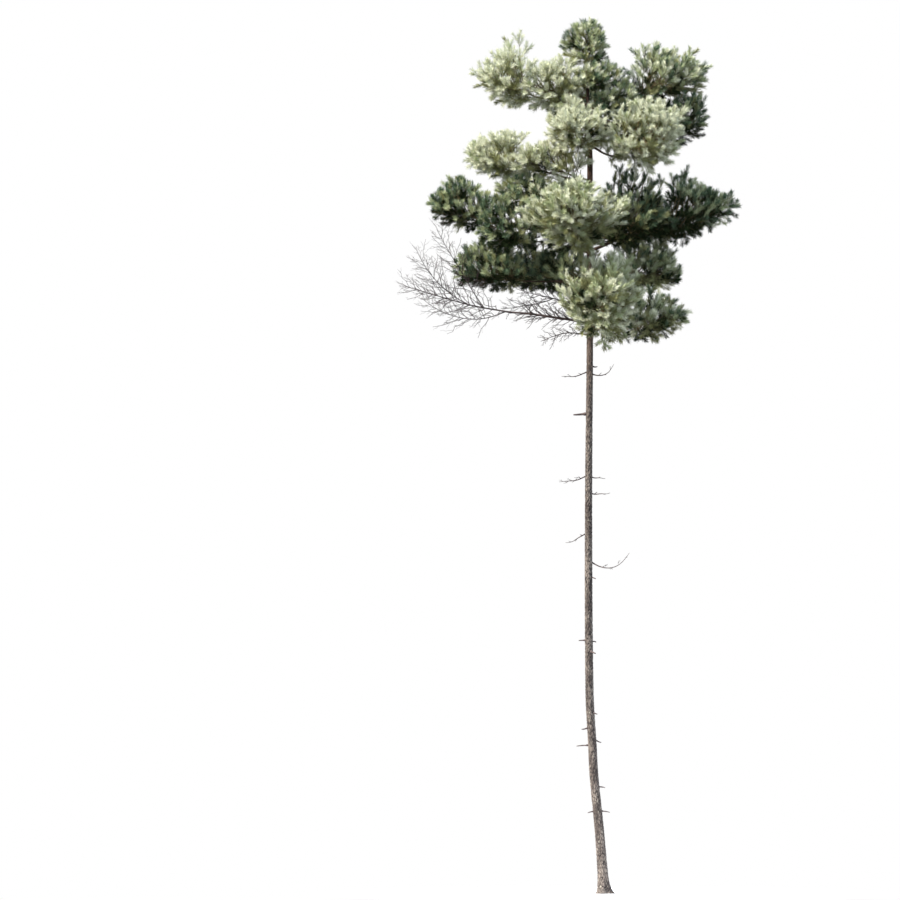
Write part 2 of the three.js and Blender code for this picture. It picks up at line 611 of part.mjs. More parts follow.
function meshOf(name, solid, origin, material) {
  const { vertProperties, triVerts } = solid.getMesh();
  const geometry = new THREE.BufferGeometry();
  geometry.setAttribute('position', new THREE.BufferAttribute(vertProperties, 3));
  geometry.setIndex(new THREE.BufferAttribute(triVerts, 1));
  geometry.translate(-origin.x, -origin.y, -origin.z);
  const mesh = new THREE.Mesh(geometry, material);
  mesh.name = name;
  mesh.position.copy(origin);
  return mesh;
}

function pegSolid(peg) {
  const bearing = degToRad(peg.bearing);
  const out = new THREE.Vector3(Math.cos(bearing), Math.sin(bearing), 0);
  const radius = stemRadius(peg.height);
  const root = stemPoint(peg.height).addScaledVector(out, radius - PEG_SUNK);
  const tip = stemPoint(peg.height).addScaledVector(out, radius + peg.length);
  tip.z += peg.rise;
  return limbSolid(new THREE.LineCurve3(root, tip), peg.radius, peg.radius * PEG_TAPER, PEG_SIDES, 1);
}

const tree = new THREE.Group();
const boughs = new THREE.Group();
const foliage = new THREE.Group();
const deadwood = new THREE.Group();
tree.add(boughs, foliage, deadwood);

const pads = PADS.map((row) => new Pad(row));
const stem = wasm.Manifold.union([stemSolid(0), ...PEGS.map(pegSolid)]);
const rooms = [stemSolid(CLEARANCE)];
const marks = [];
for (let height = CROWN_FOOT; height < STEM_TOP; height += MARKS_APART) {
  marks.push({ owner: 'stem', place: stemPoint(height), radius: stemRadius(height) });
}
tree.add(meshOf('stem', stem, new THREE.Vector3(), FINISHES.bark));

// Every living bough is cut clear of the stem, and makes its own room in the pads.
pads.filter((pad) => pad.carried === 'bough').forEach((pad) => {
  const curve = pad.boughCurve();
  const size = [pad.rootRadius, BOUGH_TIP_RADIUS, BOUGH_SIDES, BOUGH_STEPS];
  const bough = largestBody(limbSolid(curve, ...size).subtract(rooms[0]));
  boughs.add(meshOf(`bough_${pad.name}`, bough, pad.root, FINISHES.limb));
  rooms.push(limbSolid(curve, ...size, CLEARANCE));
  marks.push(...markLimb(`bough_${pad.name}`, curve, pad.rootRadius, BOUGH_TIP_RADIUS));
});
pads.filter((pad) => pad.carried !== 'round').forEach((pad) => {
  marks.push(...markLimb(pad.name, pad.limb, pad.rootRadius, PAD_LIMB_TIP_RADIUS));
});

const [deadCurve] = bareCurves(DEAD_BOUGH);
const deadSize = [DEAD_BOUGH.rootRadius, DEAD_BOUGH.tipRadius, DEAD_SIDES, DEAD_STEPS];
const deadBough = bareSolid(DEAD_BOUGH, rooms[0]);
deadwood.add(meshOf(DEAD_BOUGH.name, deadBough, stemPoint(deadCurve.v0.z), FINISHES.dead));
rooms.push(limbSolid(deadCurve, ...deadSize, CLEARANCE));
marks.push(...markLimb(DEAD_BOUGH.name, deadCurve, DEAD_BOUGH.rootRadius, DEAD_BOUGH.tipRadius));
DEAD_LIMBS.forEach((row) => {
  bareCurves(row).forEach((curve) => {
    marks.push(...markLimb(row.name, curve, row.rootRadius, row.tipRadius));
  });
});

const room = wasm.Manifold.union(rooms);
pads.forEach((pad, order) => {
  const before = pads.slice(0, order).map((other) => coreSolid(other, CORE_ROOM));
  const solid = padSolid(pad, growPad(pad, pads, marks), wasm.Manifold.union([room, ...before]));
  foliage.add(meshOf(`foliage_${pad.name}`, solid, pad.centre, FINISHES.needles));
});
[...DEAD_LIMBS, ...SNAGS.map((row) => ({ ...SNAG, ...row }))].forEach((row) => {
  const origin = new THREE.Vector3(...row.points[0]);
  deadwood.add(meshOf(row.name, bareSolid(row, room), origin, FINISHES.dead));
});

export default tree;
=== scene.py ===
"""A pine tree, 18 m tall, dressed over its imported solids.

The stem and the boughs get bark with relief, the dead limbs and the snags get
their fine twigs, and every pad of foliage is grown again by the rule of the
solids and carried on to shoots of needles. Metres, +Z up, and the front view
looks along +Y. Bearings are degrees round the stem: 0 is right (+X), 90 is away.
"""

import logging
import math
from dataclasses import dataclass, field
from enum import Enum
from typing import Callable, Iterable, Sequence, Union

import bmesh
import bpy
import numpy as np
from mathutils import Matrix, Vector, noise

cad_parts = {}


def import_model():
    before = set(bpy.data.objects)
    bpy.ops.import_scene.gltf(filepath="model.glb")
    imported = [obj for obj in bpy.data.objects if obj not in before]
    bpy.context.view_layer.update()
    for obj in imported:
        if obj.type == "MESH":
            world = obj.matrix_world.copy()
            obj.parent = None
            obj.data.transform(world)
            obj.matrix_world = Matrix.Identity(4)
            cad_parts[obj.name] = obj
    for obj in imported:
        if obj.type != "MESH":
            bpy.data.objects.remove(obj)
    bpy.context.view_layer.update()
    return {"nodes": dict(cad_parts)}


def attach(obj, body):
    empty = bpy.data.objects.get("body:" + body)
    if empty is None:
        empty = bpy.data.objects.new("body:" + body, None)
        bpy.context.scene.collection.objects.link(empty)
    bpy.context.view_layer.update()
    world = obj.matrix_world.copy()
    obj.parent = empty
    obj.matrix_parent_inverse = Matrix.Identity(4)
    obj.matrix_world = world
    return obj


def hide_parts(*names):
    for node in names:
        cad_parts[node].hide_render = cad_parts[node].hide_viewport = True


LOG = logging.getLogger("pine")
BODY = "root"
UP = np.array([0.0, 0.0, 1.0])
FULL_TURN = 2 * math.pi
GOLDEN_ANGLE = 2.39996
# The highest number of 32 bits
WHOLE = 0xFFFFFFFF
# Points nearer than this are one, and vectors shorter than the next have no direction
SEAM = 1e-5
TINY = 1e-9
# A heading whose level part is shorter than this counts as upright
UPRIGHT = 0.1

Array = np.ndarray
Colour = tuple[float, float, float]
Place = tuple[float, float, float]


class Seeded:
    """Numbers between 0 and 1 that are the same for the same seed."""

    STRIDE = 0x6D2B79F5

    def __init__(self, seed: int) -> None:
        """Start from the whole number that settles them all."""
        self.state = seed & WHOLE

    def __call__(self) -> float:
        """Give the next number.

        Returns:
            A number from 0 up to 1.
        """
        self.state = (self.state + self.STRIDE) & WHOLE
        mixed = (self.state ^ (self.state >> 15)) * (self.state | 1) & WHOLE
        mixed ^= (mixed + (mixed ^ (mixed >> 7)) * (mixed | 61)) & WHOLE
        return (mixed ^ (mixed >> 14)) / (WHOLE + 1)


def unit(vectors: Array) -> Array:
    """Scale vectors to length 1, along the last axis of an array."""
    length = np.linalg.norm(vectors, axis=-1, keepdims=True)
    return vectors / np.maximum(length, TINY)


def blend(low: float, high: float, share: Union[float, Array]) -> Union[float, Array]:
    """Go from one value to another by a share."""
    return low + (high - low) * share


def eased(low: float, high: float, value: Union[float, Array]) -> Union[float, Array]:
    """Rise smoothly from 0 to 1 between two values."""
    share = np.clip((value - low) / (high - low), 0.0, 1.0)
    return share * share * (3.0 - 2.0 * share)


def level_way(bearing: float) -> Array:
    """Give the level direction at a bearing in degrees."""
    angle = math.radians(bearing)
    return np.array([math.cos(angle), math.sin(angle), 0.0])


def beside(ways: Array) -> Array:
    """Give a direction square to each of an array's directions, of any length."""
    reference = np.eye(3)[np.argmin(np.abs(ways), axis=1)]
    return np.cross(ways, reference)


def turned(heading: Array, angle: float, roll: float) -> Array:
    """Turn a direction away from a heading.

    Args:
        heading: The direction to turn from, of length 1.
        angle: How far to turn, in radians.
        roll: Towards which side, as an angle round the heading.

    Returns:
        The new direction.
    """
    level = np.array([-heading[1], heading[0], 0.0])
    level = unit(level) if np.linalg.norm(level) > UPRIGHT else np.eye(3)[0]
    upright = np.cross(heading, level)
    aside = level * math.cos(roll) + upright * math.sin(roll)
    return heading * math.cos(angle) + aside * math.sin(angle)


# The shapes that everything is made of


class Bend:
    """A limb's line, bent once between its root and its tip."""

    DIVISIONS = 200

    def __init__(self, root: Sequence[float], middle: Sequence[float], tip: Sequence[float]) -> None:
        """Set the line and measure it.

        Args:
            root: Where it starts.
            middle: The point that it bends towards.
            tip: Where it ends.
        """
        self.ends = [np.array(point, float) for point in (root, middle, tip)]
        marks = self.points(np.linspace(0.0, 1.0, self.DIVISIONS + 1))
        steps = np.linalg.norm(np.diff(marks, axis=0), axis=1)
        self.travelled = np.concatenate([[0.0], np.cumsum(steps)])
        self.length = float(self.travelled[-1])

    def points(self, shares: Array) -> Array:
        """Read the line by its own parameter.

        Args:
            shares: Values from 0 to 1.

        Returns:
            A point for each.
        """
        t = np.asarray(shares, float)[..., None]
        root, middle, tip = self.ends
        return root * (1 - t) ** 2 + middle * (2 * t * (1 - t)) + tip * t ** 2

    def evenly(self, shares: Array) -> Array:
        """Read the line by shares of its length.

        Args:
            shares: Values from 0 to 1.

        Returns:
            A point for each.
        """
        wanted = np.asarray(shares, float) * self.length
        own = np.interp(wanted, self.travelled, np.linspace(0.0, 1.0, self.DIVISIONS + 1))
        return self.points(own)

    def tangent(self, share: float) -> Array:
        """Give the line's direction at a value of its own parameter."""
        root, middle, tip = self.ends
        return unit((middle - root) * (1 - share) + (tip - middle) * share)

    def on_steps(self, steps: int, share: float) -> Array:
        """Give a point on the straight steps that the solid limb has.

        Args:
            steps: How many steps the limb has.
            share: How far along it, from 0 to 1.

        Returns:
            The point.
        """
        step = min(int(share * steps), steps - 1)
        before, after = self.evenly(np.array([step, step + 1]) / steps)
        return before + (after - before) * (share * steps - step)


def mesh_of(name: str, points: Array, faces: Iterable[Array]) -> bpy.types.Mesh:
    """Make a mesh from arrays.

    Args:
        name: The mesh's name.
        points: Its vertices, one row each.
        faces: Arrays of vertex numbers, each with faces of one width.

    Returns:
        The mesh.
    """
    faces = [block for block in faces if len(block)]
    corners = np.concatenate([block.ravel() for block in faces])
    widths = np.concatenate([np.full(len(block), block.shape[1]) for block in faces])
    starts = np.concatenate([[0], np.cumsum(widths)[:-1]])
    mesh = bpy.data.meshes.new(name)
    mesh.vertices.add(len(points))
    mesh.vertices.foreach_set("co", points.astype(np.float32).ravel())
    mesh.loops.add(len(corners))
    mesh.loops.foreach_set("vertex_index", corners.astype(np.int32))
    mesh.polygons.add(len(widths))
    mesh.polygons.foreach_set("loop_start", starts.astype(np.int32))
    mesh.update(calc_edges=True)
    return mesh


def shown(name: str, mesh: bpy.types.Mesh, smooth: bool) -> bpy.types.Object:
    """Put a mesh in the scene.

    Args:
        name: The object's name.
        mesh: Its mesh, already in place.
        smooth: Whether its faces are shaded as one round surface.

    Returns:
        The object, at the origin.
    """
    mesh.polygons.foreach_set("use_smooth", np.full(len(mesh.polygons), smooth))
    piece = bpy.data.objects.new(name, mesh)
    bpy.context.scene.collection.objects.link(piece)
    return piece


@dataclass(frozen=True)
class Stick:
    """A kind of thin tube: its radius at the root and the tip, its sides and its rings."""

    thick: float
    thin: float
    sides: int
    rings: int


class Tubes:
    """Many thin closed tubes, gathered to be one mesh."""

    def __init__(self) -> None:
        """Start with none."""
        self.points: list[Array] = []
        self.faces: list[Array] = []
        self.count = 0

    def add(self, paths: Array, radii: Array, sides: int) -> None:
        """Add tubes that have the same number of points along them.

        Args:
            paths: The middle lines, as tubes by points by 3.
            radii: The radius at each point, as tubes by points, or one row for all.
            sides: How many sides each tube has.
        """
        tubes, rings = paths.shape[:2]
        if tubes == 0:
            return
        tangents = unit(np.gradient(paths, axis=1))
        side = beside(unit(paths[:, -1] - paths[:, 0]))[:, None, :]
        across = unit(side - tangents * np.sum(side * tangents, axis=-1, keepdims=True))
        other = np.cross(tangents, across)
        angle = np.arange(sides) * FULL_TURN / sides
        round_ = (across[:, :, None, :] * np.cos(angle)[:, None]
                  + other[:, :, None, :] * np.sin(angle)[:, None])
        points = paths[:, :, None, :] + round_ * radii[:, :, None, None]
        number = self.count + np.arange(tubes * rings * sides).reshape(tubes, rings, sides)
        after = np.roll(number, -1, axis=2)
        walls = np.stack([number[:, :-1], after[:, :-1], after[:, 1:], number[:, 1:]], axis=-1)
        self.points.append(points.reshape(-1, 3))
        self.faces += [walls.reshape(-1, 4), number[:, 0, ::-1], number[:, -1]]
        self.count += points.size // 3

    def bent(self, roots: Array, tips: Array, kind: Stick, sag: Array = np.zeros((1, 3))) -> None:
        """Add tubes that bow gently between their ends.

        Args:
            roots: Where each starts.
            tips: Where each ends.
            kind: How thick they are, and how finely they are made.
            sag: How far the middle of each is moved, as vectors.
        """
        t = np.linspace(0.0, 1.0, kind.rings)[None, :, None]
        bow = sag[:, None, :] * (4 * t * (1 - t))
        paths = roots[:, None, :] * (1 - t) + tips[:, None, :] * t + bow
        self.add(paths, blend(kind.thick, kind.thin, t[..., 0]), kind.sides)

    def build(self, name: str) -> bpy.types.Object:
        """Join the tubes into one piece of that name."""
        return shown(name, mesh_of(name, np.concatenate(self.points), self.faces), True)


class Bark:
    """A piece of bark: grids of faces, each wrapped round a limb's line."""

    LAYER = "furrow"

    def __init__(self, name: str) -> None:
        """Start a piece with nothing in it.

        Args:
            name: The piece's name.
        """
        self.name = name
        self.whole = bmesh.new()
        self.whole.verts.layers.float.new(self.LAYER)

    def wrap(self, place: Callable[[Array, Array], tuple[Array, Array]], sides: int,
             rings: int) -> None:
        """Wrap a grid round a limb, and close its seam.

        Args:
            place: Takes shares round and along the limb, and gives the points
                there and how deep in a furrow each lies, from 0 to 1.
            sides: Faces round it.
            rings: Faces along it.
        """
        made = bmesh.ops.create_grid(self.whole, x_segments=sides, y_segments=rings, size=0.5)
        verts = made["verts"]
        shares = np.array([vert.co[:2] for vert in verts]) + 0.5
        points, furrows = place(shares[:, 0], shares[:, 1])
        layer = self.whole.verts.layers.float[self.LAYER]
        for vert, point, furrow in zip(verts, points, furrows):
            vert.co = point
            vert[layer] = furrow
        bmesh.ops.remove_doubles(self.whole, verts=verts, dist=SEAM)

    def build(self) -> bpy.types.Object:
        """Close the ends and give the piece.

        Returns:
            The piece, with the furrows kept as an attribute of its vertices.
        """
        rims = [edge for edge in self.whole.edges if edge.is_boundary]
        bmesh.ops.holes_fill(self.whole, edges=rims, sides=0)
        bmesh.ops.recalc_face_normals(self.whole, faces=self.whole.faces)
        mesh = bpy.data.meshes.new(self.name)
        self.whole.to_mesh(mesh)
        self.whole.free()
        return shown(self.name, mesh, True)


@dataclass(frozen=True)
class Furrows:
    """How a bark breaks into plates: their size, how deep the cracks are, and its grain.

    Each layer of the grain is its fineness beside a plate's size, and its share.
    """

    across: float
    along: float
    depth: float
    roughness: float
    open_to: float = 0.26
    layers: tuple[tuple[float, float], ...] = ((2.3, 1.0), (5.1, 0.5))

    def read(self, spots: Array, scale: Array) -> tuple[Array, Array]:
        """Read the relief at points of an unrolled bark.

        Args:
            spots: Points as metres round (two numbers) and metres along.
            scale: How deep the relief is at each, as a share of its depth.

        Returns:
            How far each point moves outwards, and how deep in a crack it is.
        """
        size = np.array([self.across, self.across, self.along])
        cracks = np.empty(len(spots))
        grain = np.empty(len(spots))
        for i, spot in enumerate(spots / size):
            near = noise.voronoi(spot)[0]
            cracks[i] = near[1] - near[0]
            grain[i] = sum(share * noise.noise(spot * fine) for fine, share in self.layers)
        crack = 1.0 - eased(0.0, self.open_to, cracks)
        return (self.roughness * grain - self.depth * crack) * scale, crack


# Finishes


class Wire:
    """A value in a shader. An expression on it adds its own Math nodes."""

    def __init__(self, shader: "Shader", socket: bpy.types.NodeSocket) -> None:
        """Hold an output of a shader's node."""
        self.shader = shader
        self.socket = socket

    def maths(self, operation: str, *values: Union["Wire", float]) -> "Wire":
        """Add a Math node that works this out of its inputs, in order."""
        return self.shader.node("Math", {"operation": operation}, dict(enumerate(values)))

    def __add__(self, other: Union["Wire", float]) -> "Wire":
        """Add."""
        return self.maths("ADD", self, other)

    __radd__ = __add__

    def __mul__(self, other: Union["Wire", float]) -> "Wire":
        """Multiply."""
        return self.maths("MULTIPLY", self, other)

    __rmul__ = __mul__

    def __sub__(self, other: Union["Wire", float]) -> "Wire":
        """Subtract."""
        return self.maths("SUBTRACT", self, other)

    def __rsub__(self, other: Union["Wire", float]) -> "Wire":
        """Subtract from a number."""
        return self.maths("SUBTRACT", other, self)

    def rise(self, low: float, high: float) -> "Wire":
        """Rise smoothly from 0 to 1 between two values."""
        settings = {"interpolation_type": "SMOOTHSTEP"}
        return self.shader.node("MapRange", settings, {"Value": self, "From Min": low, "From Max": high})


@dataclass(frozen=True)
class Speckle:
    """A noise: how many lumps a metre has, its finer layers and its scale along each axis."""

    scale: float
    detail: float
    stretch: Place = (1.0, 1.0, 1.0)


class Shader:
    """The nodes of a material or a world, with one method for every kind of node."""

    def __init__(self, owner: Union[bpy.types.Material, bpy.types.World]) -> None:
        """Start with the nodes that the owner is given when it is new.

        Args:
            owner: The material or the world.
        """
        owner.use_nodes = True
        self.owner = owner
        self.tree = owner.node_tree

    @classmethod
    def named(cls, name: str) -> "Shader":
        """Start a new material of that name."""
        return cls(bpy.data.materials.new(name))

    def node(self, kind: str, settings: dict, inputs: dict, output: Union[int, str] = 0) -> Wire:
        """Add a node.

        Args:
            kind: Its type, without the words that all types start with.
            settings: Its own settings, set first.
            inputs: Values or wires for its sockets, by number or name.
            output: Which output is wanted.

        Returns:
            That output.
        """
        made = self.tree.nodes.new("ShaderNode" + kind)
        for key, value in settings.items():
            setattr(made, key, value)
        self.feed(made, inputs)
        return Wire(self, made.outputs[output])

    def feed(self, node: bpy.types.Node, inputs: dict) -> None:
        """Set or link a node's sockets.

        Args:
            node: The node.
            inputs: Values or wires, by socket number or name.
        """
        for key, value in inputs.items():
            if isinstance(value, Wire):
                self.tree.links.new(value.socket, node.inputs[key])
            else:
                node.inputs[key].default_value = value

    def mix(self, first: Union[Wire, Colour], second: Union[Wire, Colour], share: Wire) -> Wire:
        """Mix two colours by a share of the second."""
        first, second = (end if isinstance(end, Wire) else (*end, 1.0) for end in (first, second))
        return self.node("Mix", {"data_type": "RGBA"}, {0: share, 6: first, 7: second}, 2)

    def speckle(self, kind: Speckle) -> Wire:
        """Read a noise at the piece's own coordinates.

        Args:
            kind: The noise.

        Returns:
            Its value, from 0 to 1.
        """
        place = self.node("TexCoord", {}, {}, "Object")
        drawn = self.node("Mapping", {}, {"Vector": place, "Scale": kind.stretch})
        return self.node("TexNoise", {}, {"Vector": drawn, "Scale": kind.scale, "Detail": kind.detail})

    def furrow(self) -> Wire:
        """Read how deep in a crack of the bark the surface is."""
        return self.node("Attribute", {"attribute_name": Bark.LAYER}, {}, "Fac")

    def finish(self, colour: Union[Wire, Colour], roughness: float, gloss: float = 0.5,
               grain: Union[Speckle, None] = None, depth: float = 0.0) -> bpy.types.Material:
        """Join the parts of the finish.

        Args:
            colour: The base colour.
            roughness: The roughness.
            gloss: How strongly it reflects.
            grain: The noise that stands out of the surface, if any does.
            depth: How many metres it stands out.

        Returns:
            The material.
        """
        surface = self.tree.nodes["Principled BSDF"]
        base = colour if isinstance(colour, Wire) else (*colour, 1.0)
        self.feed(surface, {"Base Color": base, "Roughness": roughness, "Specular IOR Level": gloss})
        if grain is not None:
            height = self.speckle(grain)
            bump = self.node("Bump", {}, {"Height": height, "Distance": depth}, "Normal")
            self.feed(surface, {"Normal": bump})
        return self.owner


def tint(red: int, green: int, blue: int) -> Colour:
    """Turn a screen colour, of 0 to 255, into the light that it stands for."""
    # The usual curve of a screen: a straight foot, and a power above it
    shares = (channel / 255 for channel in (red, green, blue))
    return tuple(s / 12.92 if s < 0.04045 else ((s + 0.055) / 1.055) ** 2.4 for s in shares)


@dataclass(frozen=True)
class StemBark:
    """Grey plates with dark cracks low down, and thin red-brown bark in the crown."""

    slot: str = "bark"
    plate: Colour = tint(128, 117, 108)
    worn: Colour = tint(84, 73, 67)
    crack: Colour = tint(34, 28, 26)
    red_plate: Colour = tint(106, 78, 64)
    red_worn: Colour = tint(78, 56, 48)
    lichen: Colour = tint(172, 172, 152)
    red_from: float = 9.5
    red_to: float = 13.5
    red_ragged: float = 3.0
    patches: Speckle = Speckle(7.0, 4.0, (1.0, 1.0, 0.35))
    patch_edge: tuple[float, float] = (0.38, 0.62)
    flakes: Speckle = Speckle(42.0, 3.0, (1.0, 1.0, 0.4))
    lichen_edge: tuple[float, float] = (0.60, 0.72)
    lichen_share: float = 0.6
    lichen_fades: float = 0.8
    furrow_share: float = 0.85
    flake_edge: tuple[float, float] = (0.50, 0.34)
    flake_share: float = 0.6
    grain: Speckle = Speckle(160.0, 2.0, (1.0, 1.0, 0.3))
    grain_depth: float = 0.004
    roughness: float = 0.92

    def material(self) -> bpy.types.Material:
        """Make the material.

        Returns:
            The material.
        """
        shader = Shader.named("stem bark")
        place = shader.node("TexCoord", {}, {}, "Object")
        height = shader.node("SeparateXYZ", {}, {0: place}, "Z")
        patches = shader.speckle(self.patches).rise(*self.patch_edge)
        flakes = shader.speckle(self.flakes)
        red = (height + (flakes - 0.5) * self.red_ragged).rise(self.red_from, self.red_to)
        grey = shader.mix(self.plate, self.worn, patches)
        brown = shader.mix(self.red_plate, self.red_worn, patches)
        bark = shader.mix(grey, brown, red)
        lichen = flakes.rise(*self.lichen_edge) * self.lichen_share * (1.0 - red * self.lichen_fades)
        bark = shader.mix(bark, self.lichen, lichen)
        crack = shader.furrow() * self.furrow_share + flakes.rise(*self.flake_edge) * self.flake_share
        bark = shader.mix(bark, self.crack, crack)
        return shader.finish(bark, self.roughness, grain=self.grain, depth=self.grain_depth)


@dataclass(frozen=True)
class LimbBark:
    """The bark of a limb, living or dead: two tones, drawn out along the grain."""

    name: str
    slot: str
    light: Colour
    dark: Colour
    crack: Colour
    patches: Speckle = Speckle(26.0, 4.0, (0.5, 1.0, 1.0))
    patch_edge: tuple[float, float] = (0.35, 0.65)
    furrow_share: float = 0.8
    grain: Speckle = Speckle(220.0, 2.0)
    grain_depth: float = 0.002
    roughness: float = 0.88

    def material(self) -> bpy.types.Material:
        """Make the material.

        Returns:
            The material.
        """
        shader = Shader.named(self.name)
        patches = shader.speckle(self.patches).rise(*self.patch_edge)
        bark = shader.mix(self.light, self.dark, patches)
        bark = shader.mix(bark, self.crack, shader.furrow() * self.furrow_share)
        return shader.finish(bark, self.roughness, grain=self.grain, depth=self.grain_depth)


@dataclass(frozen=True)
class Plain:
    """One plain colour, for what is too fine to carry a pattern."""

    name: str
    slot: str
    colour: Colour
    roughness: float
    gloss: float

    def material(self) -> bpy.types.Material:
        """Make the material."""
        return Shader.named(self.name).finish(self.colour, self.roughness, self.gloss)


class Green(Enum):
    """The colours of needles, in the order of the material slots.

    The tuple after the class gives, in the same order, what the needles at each shoot's base have: older
    needles, a step darker, with painted shade there too. The shade green stands for painted shade, and the
    darkest green is painted shadow.
    """

    SAGE = Plain("needles sage", "needles", tint(208, 210, 184), 0.5, 0.4)
    LEAF = Plain("needles green", "needles", tint(163, 171, 132), 0.5, 0.35)
    SHADE = Plain("needles shade", "needles", tint(83, 102, 76), 0.55, 0.25)
    OLIVE = Plain("needles olive", "needles", tint(141, 143, 100), 0.6, 0.2)
    # Near-black: painted shadow, for shoots deep in a pad or under it, and for the base of shaded shoots.
    PAINTED_SHADOW = Plain("inner needles", "needles", tint(40, 51, 29), 0.65, 0.05)


GREENS = list(Green)
# Needles at a shoot's base: older ones are darker, and painted shade falls there as well.
OLD_AND_SHADED_GREENS = (Green.LEAF, Green.LEAF, Green.PAINTED_SHADOW, Green.OLIVE, Green.PAINTED_SHADOW)


class Tone(Enum):
    """How a pad's shoots share out sage, green, shade and olive, and how dark its depth is. Each tone
    paints light and shade on a whole pad by where it stands to the light: sunlit pads are painted pale, and
    pads in shade get more shade green and a darker painted shadow in their depth.
    """

    LIT = (0.92, 0.06, 0.0, 0.02, 0.06)
    PALE = (0.56, 0.34, 0.0, 0.10, 0.25)
    HALF_LIT = (0.22, 0.45, 0.24, 0.09, 0.5)
    MIXED = (0.14, 0.46, 0.32, 0.08, 0.6)
    IN_SHADE = (0.0, 0.38, 0.54, 0.08, 0.9)


STEM_BARK = StemBark()
LIVE_BARK = LimbBark("limb bark", "limb", tint(118, 92, 76), tint(80, 60, 50), tint(44, 34, 30))
DEAD_BARK = LimbBark("dead wood", "dead_wood", tint(98, 84, 80), tint(62, 51, 51), tint(34, 28, 30))
Finish = Union[StemBark, LimbBark, Plain]
TWIG_BARK = Plain("twig bark", "limb", tint(98, 86, 60), 0.8, 0.2)
DEAD_TWIG = Plain("dead twig", "dead_wood", tint(60, 48, 47), 0.85, 0.3)


# The stem


@dataclass(frozen=True)
class Station:
    """A level of the stem: its height, its middle there and its diameter."""

    height: float
    x: float
    y: float
    diameter: float


@dataclass(frozen=True)
class Peg:
    """A short dead peg that stands out of the stem."""

    height: float
    bearing: float
    length: float
    radius: float
    rise: float


